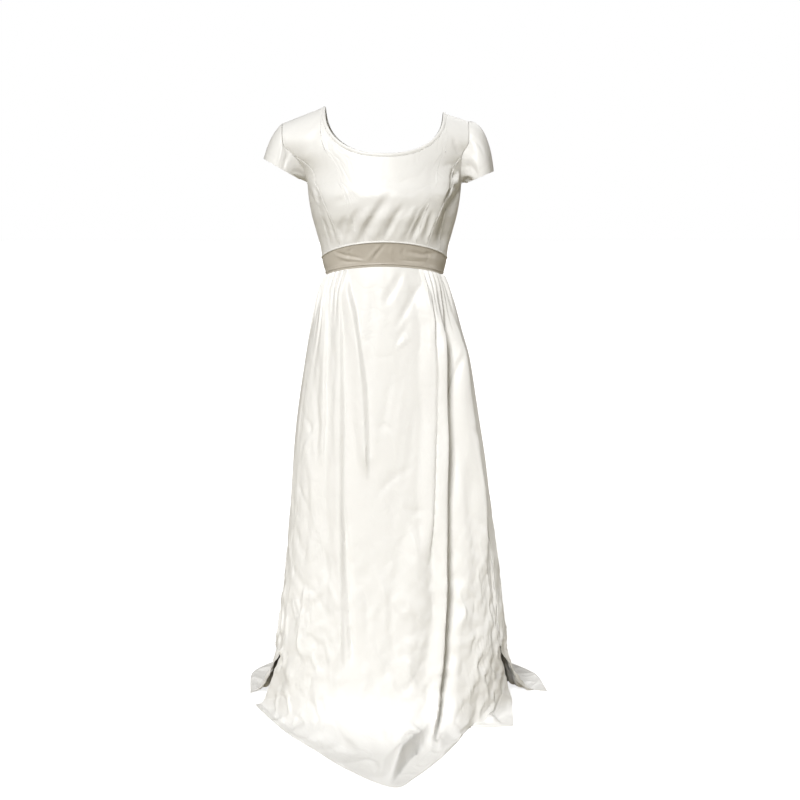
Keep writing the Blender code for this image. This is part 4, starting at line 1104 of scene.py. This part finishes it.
FRONT_CREASES = (
    # height, half width, then places across and down the front, all in millimetres
    (-3, 13, (42, 350), (22, 393), (-4, 435)),
    (-3.4, 16, (83, 372), (57, 430), (26, 486)),
    (2.6, 5, (68, 493), (44, 508), (20, 528)),
    (-1.2, 6, (-52, 512), (-25, 500)),
    (-1.4, 7, (-31, 702), (0, 689), (30, 706)),
    (2, 6, (-44, 763), (-22, 765)),
    (-2.4, 8, (-26, 855), (17, 807), (75, 772)),
    (-2.4, 8, (39, 866), (66, 882), (101, 874)),
    (2.4, 6, (-146, 683), (-178, 756), (-192, 793)),
    (-2.2, 7, (-187, 674), (-168, 695), (-157, 728)),
    (-2.2, 6, (-197, 831), (-183, 863), (-165, 894)),
    (-1.4, 9, (100, 357), (61, 416), (24, 481)),
    (-1.4, 8, (66, 448), (44, 483), (20, 522)),
    (1.1, 8, (85, 395), (52, 450), (20, 500)),
    (-1.2, 10, (-30, 372), (-22, 450), (-28, 560)),
    (-1.2, 11, (20, 560), (4, 660), (-14, 740)),
    (1, 10, (46, 590), (30, 690), (22, 800)),
    (-1.4, 12, (66, 640), (60, 740), (36, 850)),
    (-1.2, 9, (-12, 780), (12, 860), (26, 950)),
    (-1.6, 10, (-160, 560), (-148, 660), (-150, 780)),
    (1.4, 10, (-180, 700), (-164, 820), (-150, 930)),
    (-1.8, 11, (-150, 860), (-176, 940), (-206, 990)),
    (-1.8, 10, (-215, 880), (-196, 960), (-160, 1030)),
    (-2.2, 11, (-225, 1010), (-186, 1060), (-135, 1080)),
    (2, 11, (-228, 1060), (-190, 1120), (-140, 1150)),
    (-2.4, 11, (-205, 1130), (-165, 1180), (-120, 1190)),
    (-2.2, 10, (-60, 1020), (-36, 1090), (-40, 1180)),
    (2, 11, (-20, 1000), (4, 1080), (0, 1180)),
    (-2, 10, (30, 1060), (16, 1140), (30, 1230)),
    (1.8, 10, (60, 1120), (50, 1200), (70, 1290)),
    (-2.2, 9, (196, 600), (212, 640), (222, 670)),
    (-2, 8, (190, 700), (214, 730), (228, 735)),
    (-2.2, 9, (186, 890), (215, 930), (240, 950)),
    (1.8, 9, (180, 960), (210, 1010), (245, 1030)),
    (-2.2, 9, (166, 1060), (200, 1120), (246, 1140)),
)
BACK_FOLDS = (
    # height in millimetres, half width in degrees, then places by turn in degrees and flow
    (-7, 6, (98, 0.02), (97, 0.5), (96, 1.3)),
    (8, 8, (112, 0.02), (112, 0.5), (112, 1.6)),
    (-11, 6.5, (124, 0.0), (125, 0.5), (126, 1.4)),
    (9, 8, (137, 0.0), (138, 0.5), (139, 1.7)),
    (-9, 6.5, (150, 0.02), (151, 0.5), (153, 1.3)),
    (4, 6, (163, 0.05), (164, 0.5), (166, 1.4)),
    (-6, 6, (-98, 0.03), (-97, 0.5), (-97, 1.3)),
    (8, 8, (-110, 0.01), (-111, 0.5), (-112, 1.7)),
    (-11, 6.5, (-123, 0.0), (-124, 0.5), (-125, 1.4)),
    (9, 8, (-138, 0.01), (-138, 0.5), (-138, 1.6)),
    (-10, 6.5, (-151, 0.02), (-151, 0.5), (-152, 1.4)),
    (4, 6, (-165, 0.05), (-165, 0.5), (-166, 1.3)),
)
FLOOR_RUCKS = (
    # height, reach, then places on the floor, x and y, all in millimetres
    (36, (7, 42), (124, -90), (112, -165), (98, -215), (75, -265), (42, -345), (8, -470)),
    (12, (20, 8), (60, -205), (46, -262), (52, -300)),
    (11, (7, 30), (-70, -140), (-38, -170), (-10, -200), (6, -260)),
    (14, 30, (-200, -150), (-120, -235)),
    (10, 26, (-130, -180), (-60, -300)),
    (12, 18, (145, -160), (110, -290)),
    (9, 14, (180, -130), (150, -220)),
    (12, 20, (225, -90), (255, -138)),
    (15, 30, (60, 230), (85, 380)),
    (16, 30, (-90, 230), (-130, 350)),
    (14, 26, (200, 180), (260, 260)),
    (14, 26, (-210, 170), (-270, 240)),
)
GATHERS = (
    # wearer's side, face, first and last turn in degrees, pitch in degrees
    (-1, -1, 34.0, 66.6, 6.4),
    (1, -1, 33.0, 66.6, 5.6),
    (1, 1, 66.6, 152.0, 6.0),
    (-1, 1, 66.6, 152.0, 6.0),
)


GATHER_HEIGHT = 0.0085
GATHER_CREST = 0.72


def gathers(face, turn, drop):
    """The small gathers under the waistband, each running out at its own length."""
    degrees = np.degrees(abs(turn))
    below = drop - band_foot(turn)
    rise = np.zeros(np.shape(degrees))
    for side, which, first, last, pitch in GATHERS:
        if which != face:
            continue
        here = (np.sign(turn) == side) & (degrees > first) & (degrees < last)
        place = (degrees - first) / pitch + 0.22 * wander(degrees, pitch * 2.3, 120 + side)
        place = place + 6.0 * wander(below, 0.16, 7) * below
        size = 0.65 + 0.35 * wander(np.floor(place), 1.0, 130 + side)
        reach = 0.090 + 0.140 * (0.5 + 0.5 * wander(np.floor(place) + 0.5, 1.0, 140 + side))
        fade = ramp(below, -0.002, 0.005) * (1 - ramp(below, 0.020, reach))
        edge = ramp(degrees, first, first + 3.0) * (1 - 0.4 * ramp(degrees, last - 1.5, last))
        across = np.mod(place if side > 0 else -place, 1)
        ridge = np.where(across < GATHER_CREST, across / GATHER_CREST,
                         (1 - across) / (1 - GATHER_CREST))
        ridge = 0.5 - 0.5 * np.cos(math.pi * ridge)
        rise += np.where(here, GATHER_HEIGHT * size * fade * edge * ridge, 0)
    return rise


def fan(degrees, flow, rows):
    """Heights of folds laid by turn and flow, where the cloth hangs behind."""
    total = np.zeros(degrees.shape)
    for number, (rise, wide, *path) in enumerate(rows):
        keys = [flow_at for turn_at, flow_at in path]
        middle = np.interp(flow, keys, [turn_at for turn_at, flow_at in path])
        reach = wide * (0.55 + 0.45 * np.clip(flow, 0, 1))
        reach = reach * (1 + 0.15 * wander(flow, 0.2, 150 + number))
        ends = window(flow, keys[0] - 0.02, keys[0] + 0.16, keys[-1] - 0.3, keys[-1] + 0.3)
        uneven = 1 + 0.2 * wander(flow, 0.13, 160 + number)
        total += rise / 1000 * ends * uneven * bump(abs(degrees - middle) / reach)
    return total


def crumples(place, seed):
    """Rucks and soft dents of the cloth that lies on the floor, always upwards."""
    x, y = place[..., 0], place[..., 1]
    rise = np.clip(creases(x, y, FLOOR_RUCKS, fade=0.32), 0, None)
    ridged = 1 - abs(wander_over(x + 0.25 * y, y - 0.4 * x, 0.055, 0.075, seed))
    rise += 0.0075 * np.clip(ridged - 0.45, 0, 1) ** 1.3
    ridged = 1 - abs(wander_over(x - 0.5 * y, y + 0.3 * x, 0.030, 0.042, seed + 1))
    return rise + 0.0035 * np.clip(ridged - 0.5, 0, 1) ** 1.3


SHARP_CRUMPLES = (
    # height, lean across and down, width and length, seed
    (0.0048, -0.5, 0.7, 0.042, 0.060, 190),
    (-0.0032, 0.8, -0.5, 0.026, 0.046, 192),
)
SOFT_CRUMPLES = (
    # as above
    (0.0022, -0.4, 0.5, 0.050, 0.070, 170),
    (0.0013, 0.6, -0.4, 0.024, 0.050, 172),
)
ARC = 0.27


def slanted(turn, drop, face, lean, slope, wide, long, seed):
    """Uneven values over the hanging cloth, in a pattern that lies aslant."""
    arc = ARC * turn
    return wander_over(arc + lean * drop, drop + slope * arc, wide, long, seed + face)


def hung_crumples(face, turn, x, drop, hung):
    """The crumples of the lower skirt, with sharp ridges in places, and its soft dents."""
    low = ramp(drop, 0.75, 1.25) * hung
    marked = low * (0.45 + 0.55 * np.maximum(ramp(-x, 0.06, 0.15), ramp(x, 0.0, 0.06)))
    rise = np.zeros(turn.shape)
    for height, *pattern in SHARP_CRUMPLES:
        ridge = np.clip(1 - 2.6 * abs(slanted(turn, drop, face, *pattern)), 0, 1)
        rise += height * marked * ridge ** 1.4
    for height, *pattern in SOFT_CRUMPLES:
        rise += height * low * slanted(turn, drop, face, *pattern)
    return rise


def skirt(face, turns, flows):
    """A skirt piece's places and its plain outward directions."""
    turn, flow = np.meshgrid(np.radians(turns), flows)
    base = plain(face, turn, flow)
    way = plain_out(face, turn, flow)
    x, drop = base[..., 0], -base[..., 2]
    below = drop - band_foot(turn)
    hung = 1 - ramp(flow, 1.2, 2.4)
    if face < 0:
        lift = (creases(x, drop, FRONT_FOLDS, fade=0.16) + creases(x, drop, FRONT_CREASES)) * hung
    else:
        lift = fan(np.degrees(turn), flow, BACK_FOLDS) * hung
    lift += gathers(face, turn, drop) + hung_crumples(face, turn, x, drop, hung)
    dents = wander_over(np.degrees(turn), drop, 5.0, 0.16, 174 + face)
    lift += 0.0012 * hung * ramp(below, 0.0, 0.06) * dents
    from_seam = abs(abs(turn) - SIDE_SEAM)
    pucker = wander(drop, 0.013, 176) + 0.6 * wander(drop, 0.031, 177)
    near_seam = window(from_seam, 0.0, 0.006, 0.012, 0.10)
    lift += 0.0008 * pucker * near_seam * ramp(below, 0.05, 0.2) * hung
    lift *= np.where(drop < SLIT_DROP, 0.35 + 0.65 * ramp(from_seam, 0.0, 0.05), 1)
    place = base + lift[..., None] * way
    rucked = ramp(flow, 1.3, 2.0) * (1 - 0.8 * ramp(flow, 2.85, 3.0))
    place[..., 2] += crumples(place, 180 + face) * rucked
    place[..., 2] = np.maximum(place[..., 2], FLOOR + SKIRT_CLOTH)
    return place, way


def close_at_gathers(spans):
    """Columns of a skirt piece from spans of (first turn, last turn, steps)."""
    parts = [np.linspace(first, last, steps + 1)[:-1] for first, last, steps in spans]
    return np.concatenate(parts + [[spans[-1][1]]])


BACK_SEAM_HALF_GAP = 0.00009
HUNG_ROWS, BENT_ROWS, LYING_ROWS = 130, 22, 38
gap = math.degrees(SEAM_GAP / 2 / SKIRT[0][1])
seam = math.degrees(SIDE_SEAM)
back_gap = math.degrees(BACK_SEAM_HALF_GAP / SKIRT[0][4])
SKIRT_PIECES = (
    # piece, node, face, spans of columns, cut width and length, area of the cut
    ("skirt_front_panel", "skirt_front", -1,
     ((-seam + gap, -36, 76), (-36, 34, 86), (34, seam - gap, 80)), (1.05, 1.36), 0.74),
    ("skirt_back_panel_left", "skirt_back_left", 1,
     ((seam + gap, 152, 200), (152, 180 - back_gap, 36)), (0.85, 1.40), 0.58),
    ("skirt_back_panel_right", "skirt_back_right", 1,
     ((-180 + back_gap, -152, 36), (-152, -seam - gap, 200)), (0.85, 1.40), 0.58),
)
# Rows close under the band, even down to the floor, then along it.
flows = np.concatenate([np.linspace(0, 1, HUNG_ROWS + 1) ** 1.25,
                        np.linspace(1, 2, BENT_ROWS + 1)[1:],
                        np.linspace(2, 3, LYING_ROWS + 1)[1:]])
for name, node, face, spans, flat, area in SKIRT_PIECES:
    grid, normal = skirt(face, close_at_gathers(spans), flows)
    inner = grid - SKIRT_CLOTH * normal
    inner[..., 2] = np.maximum(inner[..., 2], FLOOR)
    piece = sew(name, grid, IVORY, grid - inner, wall=1.0)
    dress(piece, node)

# Concealed zip. Two narrow woven tapes carry a fine nylon coil and are sewn behind the centre back
# seam, so from outside only the small drop-shaped pull shows, at the top. It is shown closed; the
# slider would run down its line, which the part doesn't move.

ZIP_LENGTH = 0.480
ZIP_HALF_WIDTH = 0.011
ZIP_THICKNESS = 0.0008
ZIP_DEPTH = CLOTH + 0.0014
ZIP_START = 0.001
COIL_PITCH = 0.0026
COIL_HALF_WIDTH = 0.0022
COIL_DEPTH = 0.0007
COIL_START = 0.006
COIL_END = 0.008
COIL_THREAD = 0.0006


def behind(x, rows, part):
    """Places of the back and its outward directions, a small way across from the centre."""
    if part == "bodice":
        near = abs(bodice(1, 1, 0.01, rows)[..., 0])
        share = 0.01 * abs(x) / near
        place = bodice(1, 1, share, rows)
        way = bodice_out(1, 1, share, rows)
        mirror = spots(np.where(x < 0, -1.0, 1.0) + 0 * rows, 1.0, 1.0)
        return place * mirror, way * mirror
    if part == "band":
        turn = math.pi - x / TORSO[-1][3]
        return torso(turn, rows), body_out(turn, rows)
    turn = math.pi - x / SKIRT[0][1]
    return plain(1, turn, rows), plain_out(1, turn, rows)


def back_line(x, top, rows):
    """The back from a drop below the neck binding down into the skirt, at places across."""
    across = np.asarray(x, float)[None, :]
    levels = np.linspace(0, UNDERARM_DROP, 200)
    start = np.interp(top, -bodice(1, 1, 0.001, levels)[:, 2], levels)
    foot = top + ZIP_LENGTH
    flows = np.linspace(0, 1, 200)
    reach = np.interp(foot, -plain(1, math.pi, flows)[:, 2], flows)
    spans = (
        ("bodice", np.linspace(start, band_top(math.pi), rows)),
        ("band", np.linspace(band_top(math.pi), band_foot(math.pi), rows // 6)[1:-1]),
        ("skirt", np.linspace(0, reach, rows // 2)),
    )
    found = [behind(across, down[:, None], part) for part, down in spans]
    return tuple(np.concatenate(parts) for parts in zip(*found))


zip_top = -back_tops[1][0][0, 2] + ZIP_START
zip_cloth = satin("zip_tape", (0.82, 0.81, 0.77), (0.74, 0.73, 0.69), 0.72, 0.0, 0.0004,
                  threads=1500.0)
columns = np.linspace(-ZIP_HALF_WIDTH, ZIP_HALF_WIDTH, 13)
grid, normal = back_line(columns, zip_top, 120)
raised = 0.0003 * np.cos(columns / ZIP_HALF_WIDTH * math.pi * 3) * (abs(columns) > 0.003)
grid = grid - (ZIP_DEPTH - raised[None, :, None]) * normal
tape = sew("zip_tapes", grid, zip_cloth, normal, wall=ZIP_THICKNESS)
dress(tape, "back_zip")

# The coil, one fine nylon thread wound to and fro along the tapes' inner side.

line, out = back_line([0.0], zip_top + COIL_START, 400)
line, out = line[:, 0], out[:, 0]
run = run_of(line)
turns = np.arange(int((run[-1] - COIL_END) / COIL_PITCH))
bpy.ops.curve.primitive_bezier_curve_add()
coil = bpy.context.object
coil.name = "zip_coil"
coil.data.splines.clear()
thread = coil.data.splines.new("POLY")
thread.points.add(2 * len(turns) - 1)
for number in turns:
    for step, side in ((0, -1), (1, 1)):
        at = (number + 0.5 * step) * COIL_PITCH
        place, way = (np.array([np.interp(at, run, values[:, axis]) for axis in range(3)])
                      for values in (line, out))
        place = place - (ZIP_DEPTH + ZIP_THICKNESS + COIL_DEPTH) * way
        place[0] += side * COIL_HALF_WIDTH
        thread.points[2 * number + step].co = (*place, 1.0)
coil.data.dimensions = "3D"
coil.data.bevel_depth = COIL_THREAD
coil.data.bevel_resolution = 1
bpy.ops.object.convert(target="MESH")
coil = bpy.context.object
coil.data.materials.clear()
coil.data.materials.append(zip_cloth)
dress(coil, "back_zip")

# The slider inside and its small pull outside, a drop of lacquered metal that hangs at the top.

SLIDER_SIZE = (0.0068, 0.0036, 0.0095)
SLIDER_DEPTH = 0.0020
PULL_SIZE = (0.0052, 0.016, 0.0012)
PULL_RISE = 0.0034
PULL_HANGS = np.array([0.0, 0.0, -0.006])
lacquer = bpy.data.materials.new("ivory_lacquer")
lacquer.use_nodes = True
tree = lacquer.node_tree
where = add(tree, "TexCoord")
speckle = add(tree, "TexNoise", Vector=where.outputs["Object"], Scale=900.0)
spread = add(tree, "MapRange", Value=speckle.outputs["Fac"], To_Min=0.26, To_Max=0.38)
fill(tree, tree.nodes["Principled BSDF"], Base_Color=(0.80, 0.79, 0.74, 1.0), Metallic=0.35,
     Roughness=spread.outputs["Result"])

head, head_out = line[6], out[6]
lean = math.atan2(head_out[2], head_out[1])
inside = head - (ZIP_DEPTH + ZIP_THICKNESS + SLIDER_DEPTH) * head_out
outside = head + PULL_RISE * head_out + PULL_HANGS
hard = []
bpy.ops.mesh.primitive_cube_add(size=1.0, location=inside, rotation=(lean, 0.0, 0.0))
bpy.context.object.scale = SLIDER_SIZE
bpy.context.object.name = "zip_slider"
hard.append((bpy.context.object, 0.0010))
bpy.ops.mesh.primitive_cylinder_add(vertices=40, radius=0.5, depth=1.0, location=outside,
                                    rotation=(lean + math.pi / 2, 0.0, 0.0))
pull = bpy.context.object
pull.name = "zip_pull"
pull.scale = PULL_SIZE
for vertex in pull.data.vertices:
    vertex.co.x *= 0.62 + 0.76 * (0.5 - vertex.co.y)
hard.append((pull, 0.0004))
for piece, soft in hard:
    bpy.context.view_layer.objects.active = piece
    piece.select_set(True)
    bpy.ops.object.transform_apply(location=True, rotation=True, scale=True)
    edge = piece.modifiers.new("rounded", "BEVEL")
    edge.width = soft
    edge.segments = 3
    bpy.ops.object.modifier_apply(modifier=edge.name)
    piece.select_set(False)
    piece.data.shade_smooth()
    piece.data.set_sharp_from_angle(angle=math.radians(40))
    piece.data.materials.append(lacquer)
    dress(piece, "back_zip")

# The floor it trails on, plain and white to the camera, in a dim warm room. A large window lights
# the front from the left, a weaker one the back, and two low lamps fill the skirt's sides.

WHITE = (1.0, 1.0, 1.0, 1.0)
PAPER = (0.90, 0.90, 0.90, 1.0)
WARM_BOUNCE = (0.40, 0.362, 0.27, 1.0)
ROOM = (1.0, 0.89, 0.68, 1.0)
ROOM_STRENGTH = 0.10
FLOOR_GLOW = 0.80


def to_camera(tree, end, seen, otherwise):
    """Sends one shader to the camera's own rays and the other to all the rest."""
    ray = add(tree, "LightPath")
    either = add(tree, "MixShader", Fac=ray.outputs["Is Camera Ray"])
    tree.links.new(otherwise, either.inputs[1])
    tree.links.new(seen, either.inputs[2])
    fill(tree, tree.nodes[end], Surface=either.outputs["Shader"])


bpy.ops.mesh.primitive_plane_add(size=60.0, location=(0.0, 20.0, FLOOR))
floor = bpy.context.object
floor.name = "studio_floor"
paper = bpy.data.materials.new("pale_paper")
paper.use_nodes = True
tree = paper.node_tree
seen = fill(tree, tree.nodes["Principled BSDF"], Base_Color=PAPER, Roughness=0.9,
            Emission_Color=WHITE, Emission_Strength=FLOOR_GLOW)
bounced = add(tree, "BsdfDiffuse", Color=WARM_BOUNCE)
to_camera(tree, "Material Output", seen.outputs["BSDF"], bounced.outputs["BSDF"])
floor.data.materials.append(paper)

world = bpy.data.worlds.new("studio")
bpy.context.scene.world = world
world.use_nodes = True
tree = world.node_tree
room = fill(tree, tree.nodes["Background"], Color=ROOM, Strength=ROOM_STRENGTH)
white = add(tree, "Background", Color=WHITE)
to_camera(tree, "World Output", white.outputs["Background"], room.outputs["Background"])


def lit(name, kind, place, power):
    """A new light."""
    bpy.ops.object.light_add(type=kind, location=place)
    light = bpy.context.object
    light.name = name
    light.data.energy = power
    return light


LIGHTS = (
    # name, height above the horizon and swing to the left of the front, strength, softness
    ("window", 34.0, 15.0, 3.05, 16.0),
    ("window_behind", 38.0, 210.0, 0.8, 40.0),
)
for name, height, swing, strength, softness in LIGHTS:
    light = lit(name, "SUN", (0.0, 0.0, 3.0), strength)
    light.data.angle = math.radians(softness)
    light.rotation_euler = (math.radians(90 - height), 0.0, math.radians(-swing))

LAMP_BLEND = 0.9
LAMP_RADIUS = 0.35
LAMPS = (
    # name, place, what it points at, power, cone in degrees
    ("low_lamp_right", (2.7, -0.3, -0.70), (0.15, 0.05, -0.90), 72.0, 31.0),
    ("low_lamp_left", (-2.7, -0.9, -0.60), (-0.05, 0.0, -1.05), 34.0, 34.0),
)
for name, place, target, power, cone in LAMPS:
    light = lit(name, "SPOT", place, power)
    light.data.spot_size = math.radians(cone)
    light.data.spot_blend = LAMP_BLEND
    light.data.shadow_soft_size = LAMP_RADIUS
    towards = Vector(target) - Vector(place)
    light.rotation_euler = towards.to_track_quat("-Z", "Y").to_euler()

# The camera stands at chest height, about three metres off and a hand's breadth to the right.

CAMERA_PLACE = (0.035, -3.0, -0.230)
LOOKS_DOWN = 8.06
LENS = 59.56
SENSOR = 36.0

bpy.ops.object.camera_add(location=CAMERA_PLACE, rotation=(math.radians(90 - LOOKS_DOWN), 0.0, 0.0))
camera = bpy.context.object
camera.data.lens = LENS
camera.data.sensor_width = SENSOR
camera.data.clip_end = 60.0
bpy.context.scene.camera = camera
bpy.context.scene.view_settings.view_transform = "Standard"
